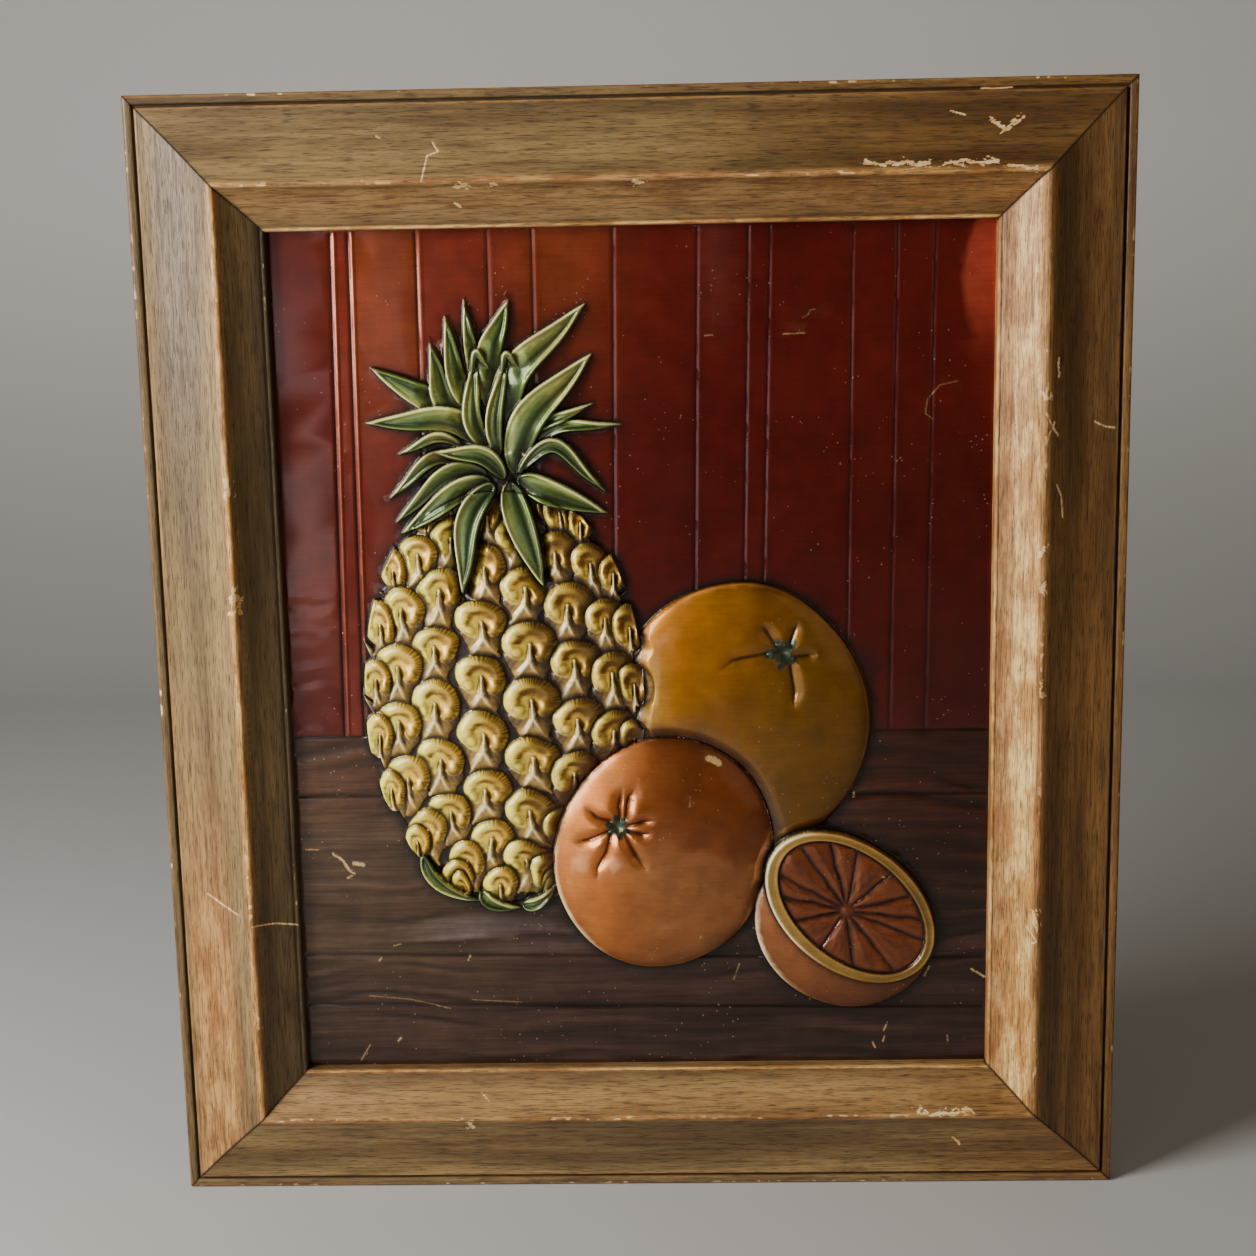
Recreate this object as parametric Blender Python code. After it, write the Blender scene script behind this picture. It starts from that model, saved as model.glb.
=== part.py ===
"""A framed copper panel: four mitred wood rails round one embossed sheet with a pineapple and citrus fruit.

Metres, +Z up. The part hangs with its back at +Y and its picture at -Y. The origin is the middle of the
hanger's rear face. A place on the picture is (x, z) from the picture's centre, and a height on it is how
far the sheet stands forward of its flat ground.
"""

import math

import bmesh
import bpy
import numpy as np
from mathutils import Vector
from mathutils.geometry import delaunay_2d_cdt

# Driving dimensions of the frame
FRAME_WIDTH = 0.558
FRAME_HEIGHT = 0.6465
RAIL_WIDTH = 0.0756
RAIL_DEPTH = 0.032
LIP_DEPTH = 0.016
REBATE_WIDTH = 0.0056
REBATE_DEPTH = 0.009
GAP = 0.0003
MITRE_GAP = 0.0003

# Driving dimensions of what the frame holds
SHEET_THICKNESS = 0.0014
BOARD_THICKNESS = 0.003
HANGER_LENGTH = 0.046
HANGER_HEIGHT = 0.009
HANGER_THICKNESS = 0.001
HANGER_RISE = 0.0014
HANGER_FROM_TOP = 0.035

# The frame's back plane and the picture's centre, seen from the origin
BACK_Y = -(GAP + HANGER_THICKNESS + HANGER_RISE)
PICTURE_Z = HANGER_FROM_TOP - FRAME_HEIGHT / 2
GROUND_DEPTH = REBATE_DEPTH - GAP
HALF_SHEET = (
    FRAME_WIDTH / 2 - RAIL_WIDTH + REBATE_WIDTH - GAP,
    FRAME_HEIGHT / 2 - RAIL_WIDTH + REBATE_WIDTH - GAP,
)
HALF_SIGHT = (FRAME_WIDTH / 2 - RAIL_WIDTH, FRAME_HEIGHT / 2 - RAIL_WIDTH)

# The embossing
EDGE = 0.0014
VALLEY = 0.007
TABLE_EDGE = -0.043
WALL_GROOVE_DEPTH = 0.0006
WALL_BEAD_HEIGHT = 0.0008
WALL_JOINT_WIDTH = 0.0045
LEDGE_EASE = 0.002
WALL_JOINTS = (
    (-0.167, -0.1715),
    (-0.157, -0.160),
    (-0.119, -0.1205),
    (-0.079, -0.080),
    (-0.054, -0.055),
    (-0.0085, -0.013),
    (0.0385, 0.033),
    (0.067, 0.061),
    (0.079, 0.072),
    (0.125, 0.1215),
    (0.150, 0.1465),
    (0.171, 0.167),
)
TABLE_JOINTS = ((-0.0795, -0.082), (-0.1775, -0.183), (-0.209, -0.214))

# The pineapple's body and its lattice of fruitlets
BODY_CENTRE = (-0.078, -0.027)
BODY_HALF_WIDTH = 0.079
BODY_UP = 0.127
BODY_DOWN = 0.121
BODY_DOME = 0.0088
COLUMN_TURN = 21.0
ROW_CENTRE = -0.0248
ROW_RADIUS = 0.1874
ROW_TURN = 10.3
SMILE_ROWS = 0.85
SMILE_TURN = -12.0
FRUITLET_HALF_WIDTH = 0.016
FRUITLET_HALF_HEIGHT = 0.015
FRUITLET_RISE = 0.0045

# The crown's leaves, back ones first: base, middle, tip and width
LEAF_RISE = 0.0052
LEAF_RIM = 0.0014
LEAVES = (
    ((-0.062, 0.118), (-0.035, 0.137), (-0.007, 0.137), 0.0075),
    ((-0.066, 0.113), (-0.050, 0.139), (-0.023, 0.149), 0.0085),
    ((-0.085, 0.128), (-0.118, 0.154), (-0.148, 0.171), 0.016),
    ((-0.086, 0.130), (-0.109, 0.158), (-0.114, 0.184), 0.013),
    ((-0.088, 0.140), (-0.101, 0.172), (-0.105, 0.199), 0.011),
    ((-0.090, 0.160), (-0.0915, 0.186), (-0.094, 0.208), 0.0075),
    ((-0.080, 0.145), (-0.079, 0.184), (-0.069, 0.208), 0.015),
    ((-0.070, 0.125), (-0.059, 0.176), (-0.026, 0.205), 0.018),
    ((-0.068, 0.110), (-0.052, 0.150), (-0.023, 0.177), 0.019),
    ((-0.085, 0.125), (-0.115, 0.142), (-0.152, 0.140), 0.015),
    ((-0.098, 0.126), (-0.117, 0.130), (-0.134, 0.122), 0.0065),
    ((-0.090, 0.116), (-0.121, 0.115), (-0.140, 0.097), 0.0085),
    ((-0.084, 0.110), (-0.114, 0.105), (-0.137, 0.083), 0.0105),
    ((-0.066, 0.110), (-0.038, 0.1215), (-0.017, 0.099), 0.0085),
    ((-0.066, 0.107), (-0.043, 0.097), (-0.016, 0.0865), 0.015),
    ((-0.082, 0.105), (-0.109, 0.095), (-0.134, 0.0765), 0.0135),
    ((-0.082, 0.124), (-0.090, 0.152), (-0.087, 0.176), 0.012),
    ((-0.077, 0.120), (-0.0765, 0.150), (-0.070, 0.176), 0.0095),
    ((-0.074, 0.107), (-0.092, 0.122), (-0.113, 0.123), 0.011),
    ((-0.080, 0.104), (-0.097, 0.075), (-0.0995, 0.042), 0.0145),
    ((-0.072, 0.105), (-0.063, 0.075), (-0.053, 0.046), 0.0165),
)
BASE_LEAVES = (
    ((-0.129, -0.116), (-0.119, -0.134), (-0.094, -0.145), 0.008),
    ((-0.095, -0.138), (-0.088, -0.146), (-0.072, -0.149), 0.008),
    ((-0.071, -0.146), (-0.061, -0.145), (-0.050, -0.134), 0.008),
)

# The citrus fruit
GRAPEFRUIT_DOME = 0.0095
ORANGE_DOME = 0.0125
HALF_ORANGE_DOME = 0.0085
STEM_PIT = 0.0022
CREASE_WIDTH = 0.0032
GRAPEFRUIT_STEM = (0.083, 0.005)
GRAPEFRUIT_CREASES = ((186, 0.034), (118, 0.022), (62, 0.022), (-4, 0.022), (-80, 0.040))
ORANGE_STEM = (-0.0135, -0.096)
ORANGE_CREASES = (
    (68, 0.028),
    (14, 0.024),
    (-12, 0.022),
    (-55, 0.026),
    (-112, 0.034),
    (-158, 0.026),
    (142, 0.024),
)
SEGMENTS = 12
SEGMENT_CORE = (0.118, -0.151)
CUT_TILT = 0.03
SEGMENT_DEPTH = 0.0009

# How finely the sheet's front and back are faceted
CELL = 0.016
CELL_SPLITS = 2
CELL_TOLERANCE = 0.0006
LEAST_STEP = 0.0018
OUTLINE_STEP = 0.0085
LEAF_STATIONS = 7
BACK_CELL = 0.021


class Oval:
    """A rounded outline: its centre, two half sizes, a turn in degrees, and a power of 2 for an ellipse."""

    def __init__(self, centre, halves, turn=0.0, power=2.0):
        self.centre = centre
        self.halves = halves
        self.turn = math.radians(turn)
        self.power = power

    def spot(self, x, z):
        """The distance inside the outline and the radius as a share of the outline's."""
        along = (x - self.centre[0]) * math.cos(self.turn) + (z - self.centre[1]) * math.sin(self.turn)
        up = (z - self.centre[1]) * math.cos(self.turn) - (x - self.centre[0]) * math.sin(self.turn)
        return inside_oval(along, up, self.halves[0], self.halves[1], self.power)

    def ring(self, count, grow=0.0):
        """Points round the outline, moved out by grow."""
        angles = np.linspace(0, 2 * math.pi, count, endpoint=False)
        along = np.sign(np.cos(angles)) * np.abs(np.cos(angles)) ** (2 / self.power) * (self.halves[0] + grow)
        up = np.sign(np.sin(angles)) * np.abs(np.sin(angles)) ** (2 / self.power) * (self.halves[1] + grow)
        x = self.centre[0] + along * math.cos(self.turn) - up * math.sin(self.turn)
        z = self.centre[1] + along * math.sin(self.turn) + up * math.cos(self.turn)
        return np.column_stack([x, z])


GRAPEFRUIT = Oval((0.0575, -0.0375), (0.0765, 0.083), -3, 1.88)
ORANGE = Oval((0.0127, -0.116), (0.0639, 0.0715), -20)
HALF_ORANGE = Oval((0.1195, -0.1615), (0.0550, 0.0500), -35)
CUT_FACE = Oval((0.1225, -0.1494), (0.0570, 0.0380), -40)
FLESH = Oval((0.1234, -0.1494), (0.0515, 0.0318), -42)


def ease(low, high, value):
    """0 below low and 1 above high, with a smooth rise between."""
    share = np.clip((value - low) / (high - low), 0, 1)
    return share * share * (3 - 2 * share)


def inside_oval(along, up, half_along, half_up, power):
    """The distance inside a rounded outline and the radius as a share of the outline's."""
    a = np.abs(along / half_along) + 1e-9
    b = np.abs(up / half_up) + 1e-9
    share = (a**power + b**power) ** (1 / power)
    slope = np.hypot(a ** (power - 1) / half_along, b ** (power - 1) / half_up) * share ** (1 - power)
    return (1 - share) / slope, share


def dome(share, height, rim):
    """A round form's height: rim at its outline, and steep there."""
    return rim + height * np.sqrt(np.clip(1 - share**2, 0, 1))


def rail_profile():
    """Points (inward, forward) round a rail's section: outer back edge, front, then the rebate."""
    lip = [(0, -0.0014), (0.0006, -0.0004), (0.0016, 0), (0.0042, 0), (0.0050, -0.0005)]
    quirk = [(0.0054, -0.0018), (0.0064, -0.0018), (0.0068, 0.0004)]
    points = [(0, 0)] + [(inward, LIP_DEPTH + forward) for inward, forward in lip + quirk]
    scoop_start = (0.0076, LIP_DEPTH + 0.0008)
    scoop_end = (0.0470, RAIL_DEPTH - 0.0012)
    for step in range(9):
        share = step / 8
        inward = scoop_start[0] + share * (scoop_end[0] - scoop_start[0])
        forward = scoop_start[1] + share**1.6 * (scoop_end[1] - scoop_start[1])
        points.append((inward, forward))
    ridge_radius = 0.0026
    ridge_centre = (0.0497, RAIL_DEPTH - ridge_radius)
    for degrees in (128, 103, 78, 53, 28):
        angle = math.radians(degrees)
        across = ridge_radius * math.cos(angle)
        points.append((ridge_centre[0] + across, ridge_centre[1] + ridge_radius * math.sin(angle)))
    slope_start = (0.0523, RAIL_DEPTH - 0.0024)
    slope_end = (0.0718, LIP_DEPTH + 0.0016)
    sag = 0.0011
    for step in range(6):
        share = step / 5
        inward = slope_start[0] + share * (slope_end[0] - slope_start[0])
        forward = slope_start[1] + share * (slope_end[1] - slope_start[1]) - 4 * sag * share * (1 - share)
        points.append((inward, forward))
    bead_radius = 0.0015
    bead_centre = (RAIL_WIDTH - bead_radius, LIP_DEPTH - 0.0006)
    for degrees in (135, 90, 45, 0):
        angle = math.radians(degrees)
        across = bead_radius * math.cos(angle)
        points.append((bead_centre[0] + across, bead_centre[1] + bead_radius * math.sin(angle)))
    rebate = RAIL_WIDTH - REBATE_WIDTH
    return points + [(RAIL_WIDTH, REBATE_DEPTH), (rebate, REBATE_DEPTH), (rebate, 0)]


def body_share(x, z):
    """The distance inside the pineapple's body and the radius as a share of its outline's."""
    across = x - BODY_CENTRE[0]
    up = z - BODY_CENTRE[1]
    upper = inside_oval(across, up, BODY_HALF_WIDTH, BODY_UP, 2.3)
    lower = inside_oval(across, up, BODY_HALF_WIDTH, BODY_DOWN, 1.9)
    return np.where(up > 0, upper[0], lower[0]), np.where(up > 0, upper[1], lower[1])


def body_half_width(z):
    """Half the body's width at a height, for one number."""
    up = z - BODY_CENTRE[1]
    half, power = (BODY_UP, 2.3) if up > 0 else (BODY_DOWN, 1.9)
    return BODY_HALF_WIDTH * max(0, 1 - (abs(up) / half) ** power) ** (1 / power)


def fruitlet_places():
    """Each fruitlet as (x, z, half width, half height): rows that rise to both sides, staggered by column."""
    places = []
    for column in range(-3, 5):
        turn = math.radians((column - 0.5) * COLUMN_TURN)
        smile = SMILE_ROWS * (1 - math.cos(turn - math.radians(SMILE_TURN)))
        for row in range(-5, 4):
            step = row + 0.5 * (1 - column % 2) + smile
            z = ROW_CENTRE + ROW_RADIUS * math.sin(math.radians(ROW_TURN * step))
            width = body_half_width(z)
            if width < 0.25 * BODY_HALF_WIDTH:
                continue
            narrowing = 0.45 + 0.55 * width / BODY_HALF_WIDTH
            half_width = FRUITLET_HALF_WIDTH * narrowing * math.cos(turn) ** 0.6
            half_height = FRUITLET_HALF_HEIGHT * (0.6 + 0.4 * narrowing)
            places.append((BODY_CENTRE[0] + width * math.sin(turn), z, half_width, half_height))
    return places


def fruitlet_height(u, w):
    """One fruitlet's rise as a share, at places in its own half widths and half heights."""
    round_share = np.sqrt(np.clip(1 - u * u - w * w, 0, 1))
    mouth = np.exp(-(((u - 0.05) / 0.36) ** 2) - ((w + 0.38) / 0.42) ** 2)
    hood = round_share * (1 - 0.7 * mouth)
    spike_width = np.clip(0.30 * (0.15 - w) / 1.5, 1e-6, None)
    spike = 0.62 * np.clip(1 - np.abs(u) / spike_width, 0, 1) * (w > -1.4)
    skirt_line = np.abs(np.abs(u) - 0.15 - 0.93 * (-0.55 - w))
    skirt = 0.40 * np.clip(1 - skirt_line / 0.2, 0, 1) * (w < -0.5) * (w > -1.3)
    return np.maximum(np.maximum(hood, spike), skirt)


def fruitlet_lines():
    """Lines that a fruitlet is faceted along, in its own half widths and half heights."""
    foot = np.radians(np.arange(-36, 217, 36))
    crest = np.radians(np.arange(-20, 201, 44))
    return [
        np.column_stack([np.cos(foot), np.sin(foot)]),
        0.66 * np.column_stack([np.cos(crest), np.sin(crest)]),
        np.array([(0, 0.15), (0, -0.5), (0, -1.35)]),
        np.array([(0.78, -1.22), (0.2, -0.6), (0.26, -1.2)]),
        np.array([(-0.78, -1.22), (-0.2, -0.6), (-0.26, -1.2)]),
    ]


def body_dome(x, z):
    """The pineapple's smooth body, without its fruitlets, falling to nothing at its outline."""
    _, share = body_share(x, z)
    return BODY_DOME * np.clip(1 - share**2.2, 0, 1) ** 0.75


def fruitlets_height(x, z):
    """The rise of all the fruitlets together."""
    rise = np.zeros_like(x)
    for centre_x, centre_z, half_width, half_height in fruitlet_places():
        near = (np.abs(x - centre_x) < half_width) & (np.abs(z - centre_z) < 1.45 * half_height)
        own = fruitlet_height((x[near] - centre_x) / half_width, (z[near] - centre_z) / half_height)
        rise[near] = np.maximum(rise[near], own)
    return FRUITLET_RISE * rise


def creases(x, z, stem, lines):
    """The sunk stem and the creases that run out from it, as a share of the pit's depth."""
    away_x = x - stem[0]
    away_z = z - stem[1]
    reach = np.hypot(away_x, away_z)
    depth = np.exp(-((reach / 0.006) ** 2))
    for degrees, length in lines:
        angle = math.radians(degrees)
        along = away_x * math.cos(angle) + away_z * math.sin(angle)
        aside = away_z * math.cos(angle) - away_x * math.sin(angle)
        line = np.exp(-((aside / CREASE_WIDTH) ** 2)) * (along > 0) * ease(length, 0.003, along)
        depth = np.maximum(depth, 0.75 * line)
    return depth


class Leaf:
    """A pointed leaf on a curve through base, middle and tip, with raised edges and a channel between."""

    def __init__(self, base, middle, tip, width):
        base, middle, tip = (np.array(point) for point in (base, middle, tip))
        bend = 2 * middle - (base + tip) / 2
        self.ends = np.linspace(0, 1, 15)
        share = self.ends[:, None]
        self.line = (1 - share) ** 2 * base + 2 * share * (1 - share) * bend + share**2 * tip
        self.reach = width

    def half_width(self, share):
        """Half the width at a share of the length: full near a third, and pointed at both ends."""
        return self.reach * np.clip(share, 0, 1) ** 0.35 * np.clip(1 - share, 0, 1) ** 0.75

    def spot(self, x, z):
        """The distance inside the leaf, the share of its half width, and the share of its length."""
        nearest = np.full(x.shape, np.inf)
        length = np.zeros(x.shape)
        for index in range(len(self.line) - 1):
            start = self.line[index]
            run = self.line[index + 1] - start
            along = ((x - start[0]) * run[0] + (z - start[1]) * run[1]) / (run @ run)
            along = np.clip(along, 0, 1)
            away = np.hypot(x - start[0] - along * run[0], z - start[1] - along * run[1])
            closer = away < nearest
            nearest = np.where(closer, away, nearest)
            length = np.where(closer, self.ends[index] + along * (self.ends[1] - self.ends[0]), length)
        half = self.half_width(length)
        return half - nearest, np.clip(nearest / np.maximum(half, 1e-5), 0, 1), length

    def sides(self, grow):
        """The leaf's outline as one closed ring of points, moved out by grow."""
        shares = np.linspace(0, 1, LEAF_STATIONS + 2)
        x = np.interp(shares, self.ends, self.line[:, 0])
        z = np.interp(shares, self.ends, self.line[:, 1])
        run = np.column_stack([np.gradient(x), np.gradient(z)])
        run /= np.linalg.norm(run, axis=1)[:, None]
        half = np.maximum(self.half_width(shares) + grow, 0)[:, None]
        across = np.column_stack([-run[:, 1], run[:, 0]]) * half
        middle = np.column_stack([x, z])
        middle[0] -= run[0] * max(grow, 0)
        middle[-1] += run[-1] * max(grow, 0)
        return np.concatenate([middle + across, (middle - across)[::-1]])


def leaf_shape(leaf, on_body):
    """The distance and height functions of a leaf that lies on the wall or over the body."""

    def shape(x, z, _):
        inside, across, length = leaf.spot(x, z)
        rise = LEAF_RISE * (0.4 + 0.6 * np.sin(math.pi * length**0.8))
        under = body_dome(x, z) + 0.35 * FRUITLET_RISE * (body_share(x, z)[0] > 0)
        return inside, (under if on_body else 0) + rise + LEAF_RIM * np.sin(math.pi * across**2.2)

    return shape


def body_shape(x, z, detail):
    inside, _ = body_share(x, z)
    smooth = 0.0012 + body_dome(x, z)
    return inside, smooth + fruitlets_height(x, z) if detail else smooth


def grapefruit_shape(x, z, detail):
    inside, share = GRAPEFRUIT.spot(x, z)
    smooth = dome(share, GRAPEFRUIT_DOME, 0.0015)
    sunk = 0.8 * STEM_PIT * creases(x, z, GRAPEFRUIT_STEM, GRAPEFRUIT_CREASES)
    return inside, smooth - sunk if detail else smooth


def orange_shape(x, z, detail):
    inside, share = ORANGE.spot(x, z)
    smooth = dome(share, ORANGE_DOME, 0.002)
    sunk = STEM_PIT * creases(x, z, ORANGE_STEM, ORANGE_CREASES)
    return inside, smooth - sunk if detail else smooth


def half_orange_shape(x, z, _):
    """A half orange: its skin bulges below a flat cut face with a raised peel and sunk segment walls."""
    in_skin, share = HALF_ORANGE.spot(x, z)
    in_cut, _ = CUT_FACE.spot(x, z)
    in_flesh, _ = FLESH.spot(x, z)
    angle = np.arctan2(z - SEGMENT_CORE[1], x - SEGMENT_CORE[0])
    wall = ease(0.4, 0, np.abs(np.sin(SEGMENTS * angle / 2)))
    flesh = SEGMENT_DEPTH * ease(0, 0.0016, in_flesh) * (0.4 + 0.6 * wall)
    face = HALF_ORANGE_DOME - CUT_TILT * (x - CUT_FACE.centre[0])
    skin = np.minimum(dome(share, HALF_ORANGE_DOME, 0.0015), face - 0.0008)
    cut = ease(-EDGE / 2, EDGE / 2, in_cut)
    return np.maximum(in_skin, in_cut), skin + (face - flesh - skin) * cut


def wall_joints(x, z):
    """Upright joints between the wall's boards: a groove with a bead beside it."""
    share = (HALF_SIGHT[1] - z) / (HALF_SIGHT[1] - TABLE_EDGE)
    height = np.zeros_like(x)
    for top, foot in WALL_JOINTS:
        away = (x - top - (foot - top) * share) / (WALL_JOINT_WIDTH / 2)
        height += WALL_BEAD_HEIGHT * np.clip(1 - np.abs(away - 0.5) / 0.5, 0, 1)
        height -= WALL_GROOVE_DEPTH * np.clip(1 - np.abs(away + 0.5) / 0.5, 0, 1)
    return height


def table_joints(x, z):
    """Level joints between the table's boards, and the table's far edge."""
    share = (x + HALF_SIGHT[0]) / (2 * HALF_SIGHT[0])
    height = np.zeros_like(x)
    for left, right in TABLE_JOINTS + ((TABLE_EDGE, TABLE_EDGE),):
        away = (z - left - (right - left) * share) / (WALL_JOINT_WIDTH / 2)
        height -= WALL_GROOVE_DEPTH * np.clip(1 - np.abs(away) / 0.8, 0, 1)
    return height


def ground_height(x, z):
    """The wall above the table's far edge and the table below it, flat again under the frame's ledge."""
    height = np.where(z > TABLE_EDGE, wall_joints(x, z), table_joints(x, z))
    clear = np.minimum(HALF_SIGHT[0] - np.abs(x), HALF_SIGHT[1] - np.abs(z))
    return height * ease(0, LEDGE_EASE, clear)


def all_shapes():
    """Every raised form, back ones first: its distance and height function, and a ring round it."""
    shapes = []
    for leaf in [Leaf(*row) for row in BASE_LEAVES]:
        shapes.append((leaf_shape(leaf, False), leaf.sides))
    shapes.append((grapefruit_shape, lambda grow: GRAPEFRUIT.ring(ring_count(GRAPEFRUIT), grow)))
    shapes.append((body_shape, body_ring))
    for leaf in [Leaf(*row) for row in LEAVES]:
        shapes.append((leaf_shape(leaf, True), leaf.sides))
    shapes.append((orange_shape, lambda grow: ORANGE.ring(ring_count(ORANGE), grow)))
    shapes.append((half_orange_shape, half_orange_ring))
    return shapes


def half_orange_ring(grow):
    """Points round the skin and the cut face together, moved out by grow."""
    skin = HALF_ORANGE.ring(ring_count(HALF_ORANGE), grow)
    cut = CUT_FACE.ring(ring_count(CUT_FACE), grow)
    skin = skin[CUT_FACE.spot(*skin.T)[0] < -grow]
    cut = cut[HALF_ORANGE.spot(*cut.T)[0] < -grow]
    both = np.concatenate([skin, cut])
    middle = both.mean(axis=0)
    return both[np.argsort(np.arctan2(both[:, 1] - middle[1], both[:, 0] - middle[0]))]


def ring_count(oval):
    return round(math.pi * (oval.halves[0] + oval.halves[1]) / OUTLINE_STEP)


def body_ring(grow):
    """Points round the pineapple's body, moved out by grow."""
    count = round(math.pi * (BODY_HALF_WIDTH + BODY_UP) / OUTLINE_STEP)
    angles = np.linspace(0, 2 * math.pi, count, endpoint=False)
    power = np.where(np.sin(angles) > 0, 2.3, 1.9)
    half = np.where(np.sin(angles) > 0, BODY_UP, BODY_DOWN) + grow
    across = np.sign(np.cos(angles)) * np.abs(np.cos(angles)) ** (2 / power) * (BODY_HALF_WIDTH + grow)
    up = np.sign(np.sin(angles)) * np.abs(np.sin(angles)) ** (2 / power) * half
    return np.column_stack([BODY_CENTRE[0] + across, BODY_CENTRE[1] + up])


SHAPES = all_shapes()


def relief_height(x, z, detail=True):
    """The height of the sheet's front at arrays of places: each form laid over those behind it."""
    height = ground_height(x, z) if detail else np.zeros_like(x)
    for shape, _ in SHAPES:
        inside, top = shape(x, z, detail)
        valley = 0.7 * (1 - ease(0, VALLEY, -inside)) * (inside < 0)
        height = np.where(height > 0, height * (1 - valley), height)
        height += (top - height) * ease(-EDGE / 2, EDGE / 2, inside)
    return height


def hidden(points, rank, grow):
    """Which points lie under a form in front of the one at this rank."""
    covered = np.zeros(len(points), bool)
    for shape, _ in SHAPES[rank + 1 :]:
        covered |= shape(points[:, 0], points[:, 1], False)[0] > -grow
    return covered


class Facets:
    """Points and edges that the sheet's front is faceted along."""

    def __init__(self):
        self.points = []
        self.edges = []

    def add_all(self, points):
        """Adds a line of points with edges between neighbours."""
        first = len(self.points)
        self.points.extend(map(tuple, points))
        self.edges += [(first + index, first + index + 1) for index in range(len(points) - 1)]

    def add_line(self, points, rank, closed=False, every=1, longest=1):
        """Adds a line's shown points, thinned inside each shown stretch, with edges between neighbours."""
        grow = 0.9 * EDGE
        within = (np.abs(points[:, 0]) < HALF_SIGHT[0]) & (np.abs(points[:, 1]) < HALF_SIGHT[1])
        shown = within & ~hidden(points, rank, grow)
        if every > 1:
            end = shown & ~(np.append(shown[1:], False) & np.insert(shown[:-1], 0, False))
            kept = shown & (end | (np.arange(len(points)) % every == 0))
            points, shown = points[kept | ~shown], shown[kept | ~shown]
        first = len(self.points)
        names = np.where(shown, first + np.cumsum(shown) - 1, -1)
        self.points.extend(map(tuple, points[shown]))
        ends = np.roll(names, -1) if closed else names[1:]
        runs = np.linalg.norm(np.roll(points, -1, axis=0) - points, axis=1)
        for start, end, run in zip(names, ends, runs):
            if start >= 0 and end >= 0 and start != end and run < longest:
                self.edges.append((int(start), int(end)))


def outline_facets(facets):
    """A ring at the top and at the foot of each form's edge, and a line down each leaf's channel."""
    for rank, (_, ring) in enumerate(SHAPES):
        for grow in (-EDGE / 2, EDGE / 2):
            facets.add_line(ring(grow), rank, closed=True)
    first_leaf = len(BASE_LEAVES) + 2
    for index, row in enumerate(LEAVES):
        facets.add_line(Leaf(*row).line[1:-1:2], first_leaf + index)
    body = len(BASE_LEAVES) + 1
    for rank in (body, len(SHAPES) - 2, len(SHAPES) - 1):
        for grow in (VALLEY / 2, VALLEY):
            ring = SHAPES[rank][1](grow)
            raised = relief_height(ring[:, 0], ring[:, 1], False) > 0.001
            facets.add_line(ring[raised], rank, longest=2 * OUTLINE_STEP)


def fruit_facets(facets):
    """Lines along the fruitlets, the creases at the stems, the cut face and its segments."""
    body = len(BASE_LEAVES) + 1
    for x, z, half_width, half_height in fruitlet_places():
        for line in fruitlet_lines():
            spots = line * (half_width, half_height) + (x, z)
            facets.add_line(spots[body_share(*spots.T)[0] > EDGE], body)
    last = len(SHAPES) - 1
    crease_facets(facets, body - 1, GRAPEFRUIT_STEM, GRAPEFRUIT_CREASES)
    crease_facets(facets, last - 1, ORANGE_STEM, ORANGE_CREASES)
    for oval, grow in ((CUT_FACE, -EDGE / 2), (CUT_FACE, EDGE / 2), (FLESH, 0), (FLESH, -0.0016)):
        facets.add_line(oval.ring(ring_count(oval), grow), last, closed=True)
    for segment in range(SEGMENTS):
        angle = 2 * math.pi * segment / SEGMENTS
        for turn in (-0.075, 0, 0.075):
            run = np.array([math.cos(angle + turn), math.sin(angle + turn)])
            spots = SEGMENT_CORE + run * np.linspace(0.008, 0.06, 27)[:, None]
            facets.add_line(spots[FLESH.spot(*spots.T)[0] > 0.002], last, every=9)


def crease_facets(facets, rank, stem, lines):
    """The stem's pit, and a line down the middle and along both sides of each crease."""
    facets.points.append(stem)
    for degrees, length in lines:
        run = np.array([math.cos(math.radians(degrees)), math.sin(math.radians(degrees))])
        across = np.array([-run[1], run[0]]) * CREASE_WIDTH
        reach = np.linspace(0.006, length, 4)[:, None]
        for aside in (-1.6, 0, 1.6):
            facets.add_line(stem + run * reach + aside * across, rank)


def ground_facets(facets):
    """The edges of each joint's groove and bead, and the flat line where the ledge begins."""
    step = 0.005
    every = 12
    top_end = HALF_SIGHT[1] - LEDGE_EASE
    x, z = HALF_SIGHT
    corners = np.array([(-x, -z), (x, -z), (x, z), (-x, z), (-x, -z)])
    for start, end in zip(corners, corners[1:]):
        count = round(np.abs(end - start).sum() / (4 * step))
        shares = (np.arange(count) / count)[:, None]
        facets.add_all(start + (end - start) * shares)
    for top, foot in WALL_JOINTS:
        z = np.append(np.arange(TABLE_EDGE + 0.4 * WALL_JOINT_WIDTH, top_end, step), top_end)
        share = (HALF_SIGHT[1] - z) / (HALF_SIGHT[1] - TABLE_EDGE)
        for offset in (-1, -0.5, 0.5, 1):
            x = top + (foot - top) * share + offset * WALL_JOINT_WIDTH / 2
            facets.add_line(np.column_stack([x, z]), -1, every=every)
    for left, right in TABLE_JOINTS + ((TABLE_EDGE, TABLE_EDGE),):
        x = np.linspace(LEDGE_EASE - HALF_SIGHT[0], HALF_SIGHT[0] - LEDGE_EASE, 84)
        share = (x + HALF_SIGHT[0]) / (2 * HALF_SIGHT[0])
        for offset in (-0.8, 0, 0.8):
            z = left + (right - left) * share + offset * WALL_JOINT_WIDTH / 2
            facets.add_line(np.column_stack([x, z]), -1, every=every)


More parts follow.
